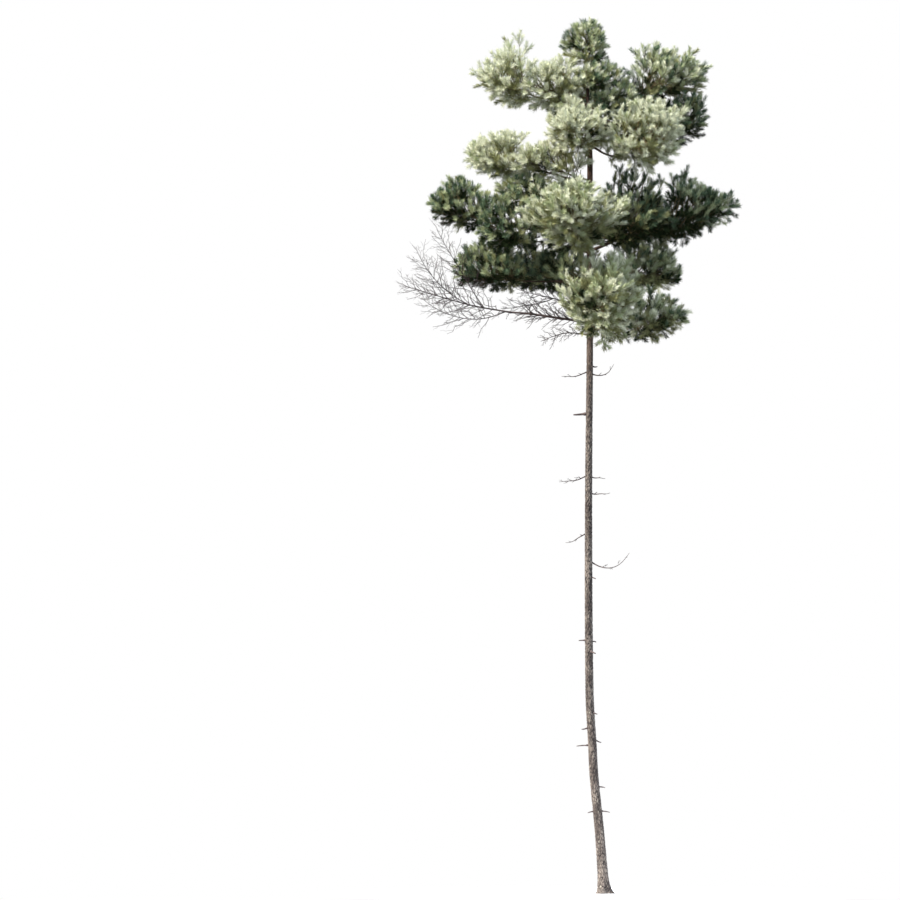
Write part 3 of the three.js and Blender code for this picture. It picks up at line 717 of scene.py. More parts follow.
@dataclass
class Stem:
    """The stem, from its flared foot to the tip in the top tuft.

    Each of a peg's rings is a share of its length and one of its radius, and those
    from the first of peg_crook up to the second are moved up or down.
    """

    top: float = 17.72
    flare: float = 0.092
    flare_height: float = 0.13
    root_lobes: int = 3
    lobe_depth: float = 0.22
    sides: int = 64
    rings: int = 1150
    crowding: float = 1.12
    full_relief: float = 0.06
    thin_crack: float = 0.5
    peg_sunk: float = 0.04
    peg_seed: int = 900
    peg_sides: int = 9
    peg_knobs: float = 0.25
    peg_crook: tuple[int, int] = (3, 5)
    peg_rings: tuple[tuple[float, float], ...] = (
        (0.0, 1.9), (0.22, 1.55), (0.34, 1.1), (0.55, 0.95), (0.78, 0.8), (0.94, 0.66), (1.0, 0.3))
    bark: Furrows = Furrows(across=0.036, along=0.085, depth=0.0085, roughness=0.0016)
    thin_from: float = 8.0
    thin_to: float = 13.0
    thin_share: float = 0.3
    stations: tuple[Station, ...] = (
        Station(0.0, 0.0, 0.0, 0.224),
        Station(0.45, -0.027, 0.005, 0.214),
        Station(1.32, -0.093, 0.015, 0.196),
        Station(2.41, -0.198, 0.03, 0.186),
        Station(3.01, -0.228, 0.04, 0.18),
        Station(4.16, -0.286, 0.05, 0.172),
        Station(7.87, -0.299, 0.02, 0.154),
        Station(11.22, -0.268, -0.02, 0.136),
        Station(13.94, -0.262, -0.015, 0.124),
        Station(15.28, -0.26, 0.0, 0.112),
        Station(16.31, -0.295, 0.008, 0.07),
        Station(17.72, -0.338, 0.0, 0.014),
    )
    pegs: tuple[Peg, ...] = (
        Peg(10.825, 10, 0.095, 0.015, 0.0),
        Peg(9.85, 178, 0.26, 0.022, -0.02),
        Peg(6.49, 330, 0.09, 0.014, -0.045),
        Peg(5.19, 185, 0.13, 0.014, -0.008),
        Peg(5.17, 20, 0.08, 0.014, -0.02),
        Peg(4.96, 305, 0.15, 0.018, -0.05),
        Peg(3.71, 320, 0.1, 0.015, -0.04),
        Peg(3.39, 190, 0.12, 0.014, -0.03),
        Peg(3.145, 15, 0.11, 0.014, -0.055),
        Peg(3.04, 175, 0.24, 0.013, -0.025),
        Peg(2.19, 350, 0.12, 0.013, -0.025),
        Peg(1.69, 170, 0.11, 0.013, -0.04),
        Peg(1.695, 5, 0.16, 0.013, -0.035),
    )

    def measure(self, name: str, heights: Array) -> Array:
        """Read one measure on a smooth curve through the stations.

        Args:
            name: x, y or diameter.
            heights: Where it is read.

        Returns:
            The measure at each height.
        """
        levels = np.array([station.height for station in self.stations])
        values = np.array([getattr(station, name) for station in self.stations])
        last = len(levels) - 1
        below = np.maximum(np.arange(last + 1) - 1, 0)
        above = np.minimum(np.arange(last + 1) + 1, last)
        slopes = (values[above] - values[below]) / (levels[above] - levels[below])
        i = np.clip(np.searchsorted(levels, heights) - 1, 0, last - 1)
        span = levels[i + 1] - levels[i]
        t = np.clip((heights - levels[i]) / span, 0.0, 1.0)
        ease = t * t * (3.0 - 2.0 * t)
        curve = slopes[i] * t * (1.0 - t) ** 2 - slopes[i + 1] * t * t * (1.0 - t)
        return values[i] * (1.0 - ease) + values[i + 1] * ease + span * curve

    def middle(self, heights: Union[float, Array]) -> Array:
        """Give the middle of the stem at some heights."""
        level = np.asarray(heights, float)
        return np.stack([self.measure("x", level), self.measure("y", level), level], axis=-1)

    def radius(self, heights: Union[float, Array]) -> Array:
        """Give the stem's radius at some heights, with the flare of its foot."""
        level = np.asarray(heights, float)
        return self.measure("diameter", level) / 2 + self.flare * np.exp(-level / self.flare_height)

    def surface(self, turn: Array, share: Array) -> tuple[Array, Array]:
        """Give the bark's surface for the grid that is wrapped round the stem.

        Args:
            turn: Shares of the way round.
            share: Shares of the way up.

        Returns:
            The points, and how deep in a crack each lies.
        """
        angle = turn * FULL_TURN
        height = self.top * share ** self.crowding
        lobe = self.lobe_depth * np.cos(self.root_lobes * angle) * np.exp(-height / self.flare_height)
        radius = self.radius(height) * (1.0 + lobe)
        spots = np.stack([np.cos(angle) * radius, np.sin(angle) * radius, height], axis=1)
        thin = blend(1.0, self.thin_share, eased(self.thin_from, self.thin_to, height))
        slim = np.minimum(1.0, radius / self.full_relief)
        relief, crack = self.bark.read(spots, thin * slim)
        radius = radius + relief
        points = self.middle(height)
        points[:, 0] += np.cos(angle) * radius
        points[:, 1] += np.sin(angle) * radius
        return points, crack * blend(self.thin_crack, 1.0, thin)

    def build(self) -> None:
        """Build the stem and its pegs, and dress them."""
        bark = Bark("bark_stem")
        bark.wrap(self.surface, self.sides, self.rings)
        dress(bark.build(), STEM_BARK, replaced="stem")
        dress(self.build_pegs(), DEAD_BARK)

    def build_pegs(self) -> bpy.types.Object:
        """Build the pegs, each knobbly, crooked a little, and narrowing sharply to its end.

        Returns:
            The pegs as one piece.
        """
        pegs = Tubes()
        along, girths = np.array(self.peg_rings).T
        for number, peg in enumerate(self.pegs):
            out = level_way(peg.bearing)
            radius = float(self.radius(peg.height))
            middle = self.middle(peg.height)
            root = middle + out * (radius - self.peg_sunk)
            tip = middle + out * (radius + peg.length) + UP * peg.rise
            random = Seeded(number + self.peg_seed)
            girth = girths + np.array([random() - 0.5 for _ in along]) * self.peg_knobs
            path = root + (tip - root) * along[:, None]
            path[slice(*self.peg_crook), 2] += peg.radius * (random() - 0.5)
            pegs.add(path[None], (girth * peg.radius)[None], self.peg_sides)
        return pegs.build("stem_pegs")


# The limbs


@dataclass(frozen=True)
class Grain:
    """What the limbs share: how fine they are made, and how they swell and waver."""

    sides: int = 16
    ring_every: float = 0.02
    fewest_rings: int = 12
    collar: float = 0.55
    collar_length: float = 0.06
    wave: float = 0.012
    wave_aside: float = 9.0
    wave_lift: float = 7.0
    tangent_step: float = 1e-3
    full_relief: float = 0.015
    bark: Furrows = Furrows(across=0.014, along=0.035, depth=0.0016, roughness=0.0007)


@dataclass
class Limb:
    """A limb with bark, on a line that wavers a little."""

    line: Bend
    root_radius: float
    tip_radius: float
    phase: float
    grain: Grain = Grain()

    def girth(self, share: Array) -> Array:
        """Give the radius along the limb, with a swelling at its root."""
        swell = self.grain.collar * np.exp(-share * self.line.length / self.grain.collar_length)
        return blend(self.root_radius, self.tip_radius, share) * (1.0 + swell)

    def centre(self, share: Array, across: Array, above: Array) -> Array:
        """Give the wavering middle line.

        Args:
            share: Shares of the limb's length.
            across: The level way across the limb at each.
            above: The upright way across the limb at each.

        Returns:
            A point for each.
        """
        sway = (self.grain.wave * np.sin(math.pi * share))[:, None]
        aside = np.sin(share * self.grain.wave_aside + self.phase)[:, None]
        lift = np.cos(share * self.grain.wave_lift + self.phase)[:, None]
        return self.line.evenly(share) + across * sway * aside + above * sway * lift

    def surface(self, turn: Array, share: Array) -> tuple[Array, Array]:
        """Give the limb's surface for the grid that is wrapped round it.

        Args:
            turn: Shares of the way round.
            share: Shares of the way along.

        Returns:
            The points, and how deep in a crack each lies.
        """
        angle = turn * FULL_TURN
        step = self.grain.tangent_step
        ahead = unit(self.line.evenly(np.minimum(share + step, 1.0))
                     - self.line.evenly(np.maximum(share - step, 0.0)))
        across = unit(np.cross(ahead, UP))
        above = np.cross(across, ahead)
        girth = self.girth(share)
        spots = np.stack([np.cos(angle) * girth, np.sin(angle) * girth,
                          share * self.line.length + self.phase], axis=1)
        relief, crack = self.grain.bark.read(spots, np.minimum(1.0, girth / self.grain.full_relief))
        rim = across * np.cos(angle)[:, None] + above * np.sin(angle)[:, None]
        return self.centre(share, across, above) + rim * (girth + relief)[:, None], crack

    def add_to(self, bark: Bark) -> None:
        """Wrap the limb's bark round it, in the piece that it is part of."""
        rings = max(self.grain.fewest_rings, int(self.line.length / self.grain.ring_every))
        bark.wrap(self.surface, self.grain.sides, rings)


@dataclass(frozen=True)
class BareRow:
    """A dead limb or snag: its line, its side limbs and its twigs."""

    name: str
    seed: int
    twigs: int
    reach: float
    points: tuple[Place, Place, Place]
    sides: tuple[tuple[float, Place, Place], ...] = ()
    root_radius: float = 0.015
    tip_radius: float = 0.004
    last: float = 0.97


@dataclass(frozen=True)
class Forking:
    """How a dead twig wanders, and how the finer twigs stand on it.

    Pairs are the values at either end of a range: of chance, or of the twig's length.
    """

    pieces: int = 5
    sides: int = 5
    wander: float = 0.16
    tip: float = 0.0035
    tip_share: float = 0.6
    shortest: float = 0.05
    first: float = 0.25
    last: float = 0.92
    spread: float = 0.6
    turn: tuple[float, float] = (0.6, 1.0)
    roll: float = 1.6
    reach: tuple[float, float] = (0.5, 1.2)
    shortens: tuple[float, float] = (1.1, 0.6)
    girth: tuple[float, float] = (0.55, 0.33)
    finest: float = 0.0025


@dataclass
class DeadLimb:
    """A dead limb or snag, with the twigs that hang on to it.

    The twigs are those of the solid, and the whips are finer ones between them.
    """

    row: BareRow
    steps: int = 4
    seeds_a_row: int = 100
    side_share: float = 0.6
    twig_first: float = 0.25
    twig_spread: float = 0.5
    twig_radius: float = 0.6
    twig_turn: float = 0.6
    twig_roll: float = 2.0
    twig_least: float = 0.6
    twig_rise: float = 0.3
    shortens: float = 0.45
    finer: tuple[tuple[int, float], ...] = ((4, 0.55), (2, 0.5))
    whips: float = 2.6
    whip_first: float = 0.12
    whip_reach: tuple[float, float] = (0.35, 1.25)
    whip_power: float = 1.5
    whip_turn: tuple[float, float] = (0.55, 1.15)
    whip_droop: float = 0.3
    whip_radius: float = 0.0075
    whip_share: float = 0.8
    whip_finer: tuple[tuple[int, float], ...] = ((3, 0.5),)
    forking: Forking = Forking()

    def __post_init__(self) -> None:
        """Draw the limb's own line, and after it those of its side limbs."""
        main = Bend(*self.row.points)
        sides = [Bend(main.on_steps(self.steps, start), middle, tip)
                 for start, middle, tip in self.row.sides]
        self.lines = [main, *sides]
        self.tubes = Tubes()

    def build(self) -> None:
        """Build the limb's bark and its twigs, and dress them."""
        row = self.row
        bark = Bark(f"bark_{row.name}")
        random = Seeded(row.seed)
        for order, line in enumerate(self.lines):
            share = self.side_share if order else 1.0
            thick = row.root_radius * share
            Limb(line, thick, row.tip_radius, row.seed + order).add_to(bark)
            self.grow(line, share, thick, random)
        dress(bark.build(), DEAD_BARK, replaced=row.name)
        if self.tubes.count:
            dress(self.tubes.build(f"twigs_{row.name}"), DEAD_TWIG)

    def grow(self, line: Bend, share: float, thick: float, random: Seeded) -> None:
        """Grow the twigs along one line, by the rule of the solids, and finer ones on them.

        Args:
            line: The line.
            share: How strong this line is beside the limb's own.
            thick: The radius at its root.
            random: The limb's numbers.
        """
        row = self.row
        twigs = math.ceil(row.twigs * share)
        seed = row.seed * self.seeds_a_row
        for k in range(twigs):
            along = blend(self.twig_first, row.last, (k + random() * self.twig_spread) / twigs)
            side = 0.5 if k % 2 == 0 else -0.5
            roll = side * math.pi + (random() - 0.5) * self.twig_roll
            way = turned(line.tangent(along), self.twig_turn, roll)
            length = row.reach * (1 - self.shortens * along) * blend(self.twig_least, 1.0, random())
            start = line.on_steps(self.steps, along)
            end = start + way * length + UP * self.twig_rise * length * random()
            radius = self.twig_radius * blend(thick, row.tip_radius, along)
            self.fork(start, end, radius, self.finer, Seeded(seed + k))
        own = Seeded(seed + self.seeds_a_row - 1)
        whips = round(twigs * self.whips) if row.name.startswith("dead") else 0
        for k in range(whips):
            along = blend(self.whip_first, row.last, (k + own()) / whips)
            roll = k * GOLDEN_ANGLE + own()
            way = turned(line.tangent(along), blend(*self.whip_turn, own()), roll)
            stretch = blend(*self.whip_reach, own() ** self.whip_power)
            length = row.reach * (1 - self.shortens * along) * stretch
            start = line.on_steps(self.steps, along)
            end = start + way * length + UP * self.twig_rise * length * (own() - self.whip_droop)
            radius = min(self.whip_radius, self.whip_share * blend(thick, row.tip_radius, along))
            self.fork(start, end, radius, self.whip_finer, own)

    def fork(self, start: Array, end: Array, radius: float, finer: tuple[tuple[int, float], ...],
             random: Seeded) -> None:
        """Add a crooked twig and the finer twigs on it.

        Args:
            start: Where it starts.
            end: Where it ends.
            radius: Its radius where it starts.
            finer: For each finer level, how many twigs and how long beside this one.
            random: The twig's own numbers.
        """
        rule = self.forking
        rings = rule.pieces + 1
        along = np.linspace(0.0, 1.0, rings)[:, None]
        length = float(np.linalg.norm(end - start))
        wander = np.array([[random() - 0.5 for _ in range(3)] for _ in along]) * rule.wander * length
        path = start + (end - start) * along + wander * np.sin(math.pi * along)
        tip = min(rule.tip, radius * rule.tip_share)
        self.tubes.add(path[None], np.linspace(radius, tip, rings)[None], rule.sides)
        if not finer or length < rule.shortest:
            return
        count, share = finer[0]
        heading = unit(end - start)
        for k in range(count):
            place = blend(rule.first, rule.last, (k + random() * rule.spread) / count)
            steps = place * rule.pieces
            step = min(int(steps), rule.pieces - 1)
            root = path[step] + (path[step + 1] - path[step]) * (steps - step)
            angle = blend(*rule.turn, random())
            way = turned(heading, angle, k * math.pi + (random() - 0.5) * rule.roll)
            reach = length * share * blend(*rule.reach, random()) * blend(*rule.shortens, place)
            thin = max(rule.finest, radius * blend(*rule.girth, place))
            self.fork(root, root + way * reach, thin, finer[1:], random)


@dataclass
class DeadWood:
    """The dead limbs under the crown, and the snags down the stem."""

    rows: tuple[BareRow, ...] = (
        BareRow("dead_bough", 50, 10, 0.72,
                ((-0.268, -0.02, 11.7), (-0.9, -0.05, 11.88), (-1.9, -0.08, 11.94)),
                root_radius=0.03, tip_radius=0.02, last=0.8),
        BareRow("dead_limb_long", 51, 14, 0.7,
                ((-1.89, -0.08, 11.94), (-3.0, -0.12, 12.11), (-4.13, -0.16, 12.5)),
                ((0.05, (-2.95, 0.1, 11.56), (-3.72, 0.15, 12.25)),
                 (0.25, (-2.95, -0.25, 12.75), (-3.42, -0.35, 13.63)),
                 (0.4, (-3.4, -0.3, 12.35), (-3.8, -0.4, 13.11))),
                root_radius=0.018, tip_radius=0.005),
        BareRow("dead_limb_upper", 52, 9, 0.52,
                ((-0.264, -0.018, 12.12), (-1.1, 0.05, 12.2), (-1.78, 0.1, 12.45)),
                ((0.5, (-1.5, 0.15, 12.06), (-2.1, 0.2, 12.05)),),
                root_radius=0.017, tip_radius=0.005),
        BareRow("dead_limb_lower", 53, 7, 0.38,
                ((-0.269, -0.018, 11.47), (-0.76, -0.06, 11.6), (-1.28, -0.11, 11.34)),
                tip_radius=0.005),
        BareRow("snag_right_1", 61, 3, 0.09,
                ((-0.268, -0.018, 10.7), (0.01, -0.06, 10.5), (0.225, -0.08, 10.87))),
        BareRow("snag_left_1", 62, 4, 0.12,
                ((-0.27, -0.018, 10.74), (-0.5, -0.03, 10.6), (-0.852, -0.06, 10.62))),
        BareRow("snag_left_2", 63, 5, 0.22,
                ((-0.292, 0.0, 8.59), (-0.56, -0.04, 8.45), (-0.906, -0.09, 8.44))),
        BareRow("snag_right_2", 64, 1, 0.08,
                ((-0.292, 0.0, 8.57), (-0.12, -0.04, 8.51), (0.045, -0.06, 8.51))),
        BareRow("snag_right_3", 65, 2, 0.08,
                ((-0.294, 0.004, 8.23), (-0.08, -0.03, 8.15), (0.142, -0.05, 8.215))),
        BareRow("snag_left_3", 66, 3, 0.13,
                ((-0.298, 0.014, 7.44), (-0.56, -0.02, 7.2), (-0.775, -0.04, 7.19))),
        BareRow("snag_right_4", 67, 4, 0.15,
                ((-0.298, 0.026, 6.85), (0.14, -0.06, 6.42), (0.532, -0.12, 6.975))),
    )

    def __post_init__(self) -> None:
        """Draw the lines of every limb and snag."""
        self.limbs = [DeadLimb(row) for row in self.rows]

    def build(self) -> None:
        """Build every dead limb and snag."""
        for limb in self.limbs:
            limb.build()


# The crown


class Carried(Enum):
    """What carries a pad of foliage."""

    BOUGH = "bough"
    STEM = "stem"
    ROUND = "round"


@dataclass(frozen=True)
class PadRow:
    """A pad of foliage: what carries it, where it lies, its half sizes and its tone."""

    name: str
    carried: Carried
    height: float
    bearing: float
    out: float
    long: float
    wide: float
    tall: float
    deep: float
    twigs: int
    start: float
    seed: int
    tone: Tone
    taper: float = 0.3


@dataclass
class Spray:
    """A spray of shoots: where it starts, where it points and how long it is."""

    start: Array
    heading: Array
    length: float
    roll: float
    stray: bool = False
    tuft: bool = False

    def at(self, share: float) -> Array:
        """Give a point along it."""
        return self.start + self.heading * (share * self.length)


@dataclass(frozen=True)
class Fineness:
    """One round of growth: how many twigs, and how long and how far apart the sprays are.

    A spray stays within a share, space, of its own pad. It keeps the share neighbour
    out of any other pad, and lies deeper in its own by the share between. On a pad
    round the stem the first twigs point outwards by the share round_back. With strays,
    some sprays stand out of the pad.
    """

    twigs: float
    length: float
    apart: float
    lift: float
    neighbour: float
    between: float
    space: float = 1.12
    round_back: float = -0.2
    strays: bool = False


class Pad:
    """The egg of space that one pad keeps to, and the limb that grows into it.

    ENTRY, LIMB_END and LIMB_BEND are in shares of the pad's half sizes.
    """

    ENTRY = (-0.74, 0.0, -0.5)
    BOUGH_TIP = 0.013
    BOUGH_SPREAD = 0.011
    BOUGH_BEND_OUT = 0.45
    BOUGH_BEND_RISE = 0.75
    LIMB_TIP = 0.009
    LIMB_SUNK = 0.02
    LIMB_END = 0.5
    LIMB_BEND = {Carried.STEM: (-0.3, 0.0, -0.3), Carried.BOUGH: (-0.2, 0.0, -0.3)}
    LUMPS = np.array([4.3, 4.9, 4.1])
    LUMP_PHASES = np.array([1, 2, 3])
    LUMP_HEIGHT = 0.075
    WELL_OUTSIDE = 3.0
    CLOSE = 0.001

    def __init__(self, row: PadRow, stem: Stem) -> None:
        """Work out the pad's place and frame.

        Args:
            row: The pad.
            stem: The stem that it hangs on.
        """
        self.row = row
        flat = level_way(row.bearing)
        outward = UP if row.carried is Carried.ROUND else flat
        sideways = np.array([-flat[1], flat[0], 0.0])
        self.frame = np.stack([outward, sideways, np.cross(outward, sideways)])
        self.centre = stem.middle(row.height) + flat * row.out
        self.root = stem.middle(row.start)
        self.entry = self.at(*self.ENTRY)
        self.root_radius = self.BOUGH_TIP + self.BOUGH_SPREAD * row.out
        self.bough = self.bough_line()
        self.limb = self.limb_line(stem)

    def at(self, out: float, side: float, up: float) -> Array:
        """Give a point in shares of the pad's half sizes.

        Args:
            out: Outwards from the stem.
            side: Across.
            up: Above the centre, or below it.

        Returns:
            The point.
        """
        girth = self.girth(out)
        sizes = (self.row.long, girth * self.row.wide, girth * (self.row.tall if up > 0 else self.row.deep))
        return self.centre + (np.array([out, side, up]) * sizes) @ self.frame

    def girth(self, out: Union[float, Array]) -> Union[float, Array]:
        """Give how wide the egg is at a share of its length, beside its half width."""
        return 1.0 - self.row.taper * np.clip(out, -1.0, 1.0)

    def reach(self, points: Array) -> Array:
        """Say how far out in the egg points lie: 0 at its centre, 1 on its lumpy surface.

        Args:
            points: One point or an array of them.

        Returns:
            A number for each.
        """
        out, side, up = np.moveaxis((points - self.centre) @ self.frame.T, -1, 0)
        out = out / self.row.long
        girth = self.girth(out)
        tall = np.where(up > 0, self.row.tall, self.row.deep)
        shares = np.stack([out, side / (girth * self.row.wide), up / (girth * tall)], axis=-1)
        even = np.linalg.norm(shares, axis=-1)
        phases = self.row.seed * self.LUMP_PHASES
        lumps = np.sum(np.cos(self.LUMPS * unit(shares) + phases), axis=-1)
        return even / (1.0 + self.LUMP_HEIGHT * lumps)

    def room(self, start: Array, heading: Array) -> float:
        """Give the distance from a point inside the egg to its surface.

        Args:
            start: The point.
            heading: The way to go.

        Returns:
            The distance.
        """
        inside, outside = 0.0, self.WELL_OUTSIDE * max(self.row.long, self.row.wide)
        while outside - inside > self.CLOSE:
            middle = (inside + outside) / 2
            if self.reach(start + heading * middle) < 1:
                inside = middle
            else:
                outside = middle
        return inside

    def bough_line(self) -> Bend:
        """Give the line of the bough that carries the pad.

        Returns:
            The line, from the stem to where it enters the pad.
        """
        middle = self.root + (self.entry - self.root) * self.BOUGH_BEND_OUT
        middle[2] = blend(self.root[2], self.entry[2], self.BOUGH_BEND_RISE)
        return Bend(self.root, middle, self.entry)

    def limb_line(self, stem: Stem) -> Bend:
        """Give the line of the pad's own limb.

        Args:
            stem: The stem, which is the limb of a pad round it.

        Returns:
            The line.
        """
        end = self.at(self.LIMB_END, 0, 0)
        if self.row.carried is Carried.ROUND:
            high = stem.middle(min(float(end[2]), stem.top))
            return Bend(self.root, (self.root + high) / 2, high)
        on_bough = self.row.carried is Carried.BOUGH
        start = self.entry - self.bough.tangent(1) * self.LIMB_SUNK if on_bough else self.root
        return Bend(start, self.at(*self.LIMB_BEND[self.row.carried]), end)


@dataclass
class Crown:
    """The living crown: boughs that end in pads of needles."""

    stem: Stem
    limb_room: float = 0.012
    marks_per_limb: int = 30
    marks_apart: float = 0.1
    foot: float = 10.5
    # Each pad's tone paints its light: LIT and PALE pads as sunlit, the others as more and more in shade.
    rows: tuple[PadRow, ...] = (
        PadRow("leader", Carried.ROUND, 17.515, 0, 0.01,
               0.56, 0.44, 0.5, 0.46, 10, 17.06, 11, Tone.MIXED),
        PadRow("cap", Carried.ROUND, 16.77, 0, 0.26,
               0.48, 0.62, 0.56, 0.64, 14, 16.7, 12, Tone.MIXED),
        PadRow("upper_left_outer", Carried.BOUGH, 16.85, 174, 1.65,
               0.8, 0.74, 0.64, 0.62, 9, 16.25, 13, Tone.LIT, 0.5),
        PadRow("upper_left_inner", Carried.STEM, 16.68, 190, 0.83,
               0.76, 0.6, 0.52, 0.64, 7, 16.4, 14, Tone.LIT),
        PadRow("upper_right_top", Carried.BOUGH, 16.91, 8, 1.57,
               0.9, 0.78, 0.62, 0.78, 9, 16.29, 15, Tone.HALF_LIT, 0.1),
        PadRow("upper_right_low", Carried.BOUGH, 15.98, 9, 1.9,
               0.56, 0.66, 0.66, 0.54, 6, 16.09, 16, Tone.IN_SHADE, 0.2),
        PadRow("upper_right_inner", Carried.STEM, 16.31, 350, 0.66,
               0.48, 0.46, 0.48, 0.38, 5, 16.18, 17, Tone.HALF_LIT),
        PadRow("front_right", Carried.BOUGH, 15.56, 322, 1.44,
               0.9, 0.78, 0.66, 0.74, 9, 15.44, 18, Tone.LIT),
        PadRow("front_left", Carried.STEM, 15.66, 251, 0.82,
               0.76, 0.74, 0.56, 0.54, 8, 15.49, 19, Tone.LIT),
        PadRow("left_outer", Carried.BOUGH, 15.24, 172, 1.89,
               0.79, 0.7, 0.44, 0.5, 9, 14.56, 20, Tone.LIT),
        PadRow("left_inner", Carried.STEM, 15.02, 196, 0.93,
               0.76, 0.62, 0.52, 0.48, 6, 14.68, 21, Tone.LIT),
        PadRow("left_under", Carried.BOUGH, 14.46, 178, 1.27,
               0.68, 0.66, 0.4, 0.42, 6, 14.3, 22, Tone.HALF_LIT),
        PadRow("left_far", Carried.BOUGH, 14.18, 170, 2.66,
               0.75, 0.66, 0.7, 0.54, 8, 13.29, 23, Tone.IN_SHADE),
        PadRow("left_near", Carried.BOUGH, 13.78, 186, 1.69,
               0.78, 0.64, 0.58, 0.62, 7, 13.18, 24, Tone.IN_SHADE),
        PadRow("front_ball", Carried.BOUGH, 13.84, 257, 1.65,
               0.98, 1.04, 0.64, 0.8, 12, 13.22, 25, Tone.PALE),
        PadRow("right_inner", Carried.STEM, 14.0, 350, 1.02,
               0.92, 0.72, 0.78, 0.68, 8, 13.32, 26, Tone.IN_SHADE),
        PadRow("right_outer", Carried.BOUGH, 14.09, 4, 2.12,
               0.98, 0.82, 0.7, 0.67, 10, 13.21, 27, Tone.IN_SHADE, 0.45),
        PadRow("lower_left_outer", Carried.BOUGH, 12.85, 172, 1.98,
               0.83, 0.76, 0.58, 0.44, 9, 12.54, 28, Tone.IN_SHADE, 0.1),
        PadRow("lower_left_inner", Carried.STEM, 12.79, 152, 0.74,
               0.6, 0.6, 0.56, 0.42, 6, 12.64, 29, Tone.IN_SHADE),
        PadRow("lower_right", Carried.BOUGH, 12.85, 22, 1.2,
               0.88, 0.72, 0.64, 0.48, 8, 12.54, 30, Tone.HALF_LIT, 0.05),
        PadRow("front_low", Carried.BOUGH, 12.13, 279, 1.45,
               0.92, 0.81, 0.92, 0.88, 12, 11.7, 31, Tone.PALE),
        PadRow("right_low", Carried.BOUGH, 11.85, 345, 1.28,
               0.74, 0.66, 0.5, 0.56, 8, 11.62, 32, Tone.HALF_LIT, 0.1),
        PadRow("back_upper_right", Carried.BOUGH, 16.06, 48, 1.64,
               0.86, 0.7, 0.56, 0.56, 7, 16.22, 33, Tone.IN_SHADE),
        PadRow("back_upper_left", Carried.BOUGH, 16.42, 97, 1.32,
               0.8, 0.66, 0.5, 0.5, 6, 16.33, 34, Tone.IN_SHADE),
        PadRow("back_left", Carried.BOUGH, 14.19, 110, 1.78,
               0.96, 0.8, 0.7, 0.6, 8, 13.64, 35, Tone.IN_SHADE),
        PadRow("back_right", Carried.BOUGH, 13.98, 58, 1.98,
               1.0, 0.8, 0.64, 0.6, 8, 13.4, 36, Tone.IN_SHADE),
        PadRow("back_low", Carried.BOUGH, 12.52, 83, 1.68,
               0.96, 0.8, 0.8, 0.38, 7, 12.3, 37, Tone.IN_SHADE),
        PadRow("back_low_left", Carried.BOUGH, 12.86, 130, 1.78,
               0.84, 0.6, 0.74, 0.32, 6, 12.44, 38, Tone.IN_SHADE),
    )
    pads: list[Pad] = field(default_factory=list)
    marks: list[tuple[str, Array, float]] = field(default_factory=list)

    def mark(self, owner: str, line: Bend, thick: float, thin: float) -> None:
        """Mark points along a limb that foliage stays clear of.

        Args:
            owner: Whose limb it is.
            line: Its line.
            thick: Its radius at the root.
            thin: Its radius at the tip.
        """
        shares = np.linspace(0.0, 1.0, self.marks_per_limb + 1)
        for share, place in zip(shares, line.points(shares)):
            self.marks.append((owner, place, blend(thick, thin, share)))

    def lay_out(self, deadwood: DeadWood) -> None:
        """Place the pads, and mark every limb.

        Args:
            deadwood: The dead limbs, which foliage stays clear of too.
        """
        self.pads = [Pad(row, self.stem) for row in self.rows]
        for height in np.arange(self.foot, self.stem.top, self.marks_apart):
            self.marks.append(("stem", self.stem.middle(height), float(self.stem.radius(height))))
        for pad in self.pads:
            if pad.row.carried is Carried.BOUGH:
                self.mark("bough", pad.bough, pad.root_radius, Pad.BOUGH_TIP)
            if pad.row.carried is not Carried.ROUND:
                self.mark(pad.row.name, pad.limb, pad.root_radius, Pad.LIMB_TIP)
        for limb in deadwood.limbs:
            if not limb.row.name.startswith("snag"):
                for line in limb.lines:
                    self.mark(limb.row.name, line, limb.row.root_radius, limb.row.tip_radius)

    def clear(self, pad: Pad, points: Array, girth: float, fineness: Fineness) -> Array:
        """Say which points lie in a pad's own space, clear of limbs.

        Args:
            pad: The pad.
            points: The points.
            girth: How much room each needs all round.
            fineness: The round of growth, which says how near other pads may be.

        Returns:
            True or False for each.
        """
        own = pad.reach(points)
        free = own <= fineness.space
        least = np.maximum(fineness.neighbour, own + fineness.between)
        for other in self.pads:
            if other is not pad:
                free &= other.reach(points) >= least
        places = np.array([place for owner, place, _ in self.marks if owner != pad.row.name])
        radii = np.array([radius for owner, _, radius in self.marks if owner != pad.row.name])
        gaps = np.linalg.norm(points[:, None, :] - places[None, :, :], axis=-1)
        return free & np.all(gaps > radii + girth + self.limb_room, axis=1)

    def build(self) -> None:
        """Build every bough and pad."""
        for pad in self.pads:
            if pad.row.carried is Carried.BOUGH:
                bark = Bark(f"bark_bough_{pad.row.name}")
                Limb(pad.bough, pad.root_radius, Pad.BOUGH_TIP, pad.row.seed).add_to(bark)
                dress(bark.build(), LIVE_BARK, replaced=f"bough_{pad.row.name}")
            Foliage(self, pad).build()


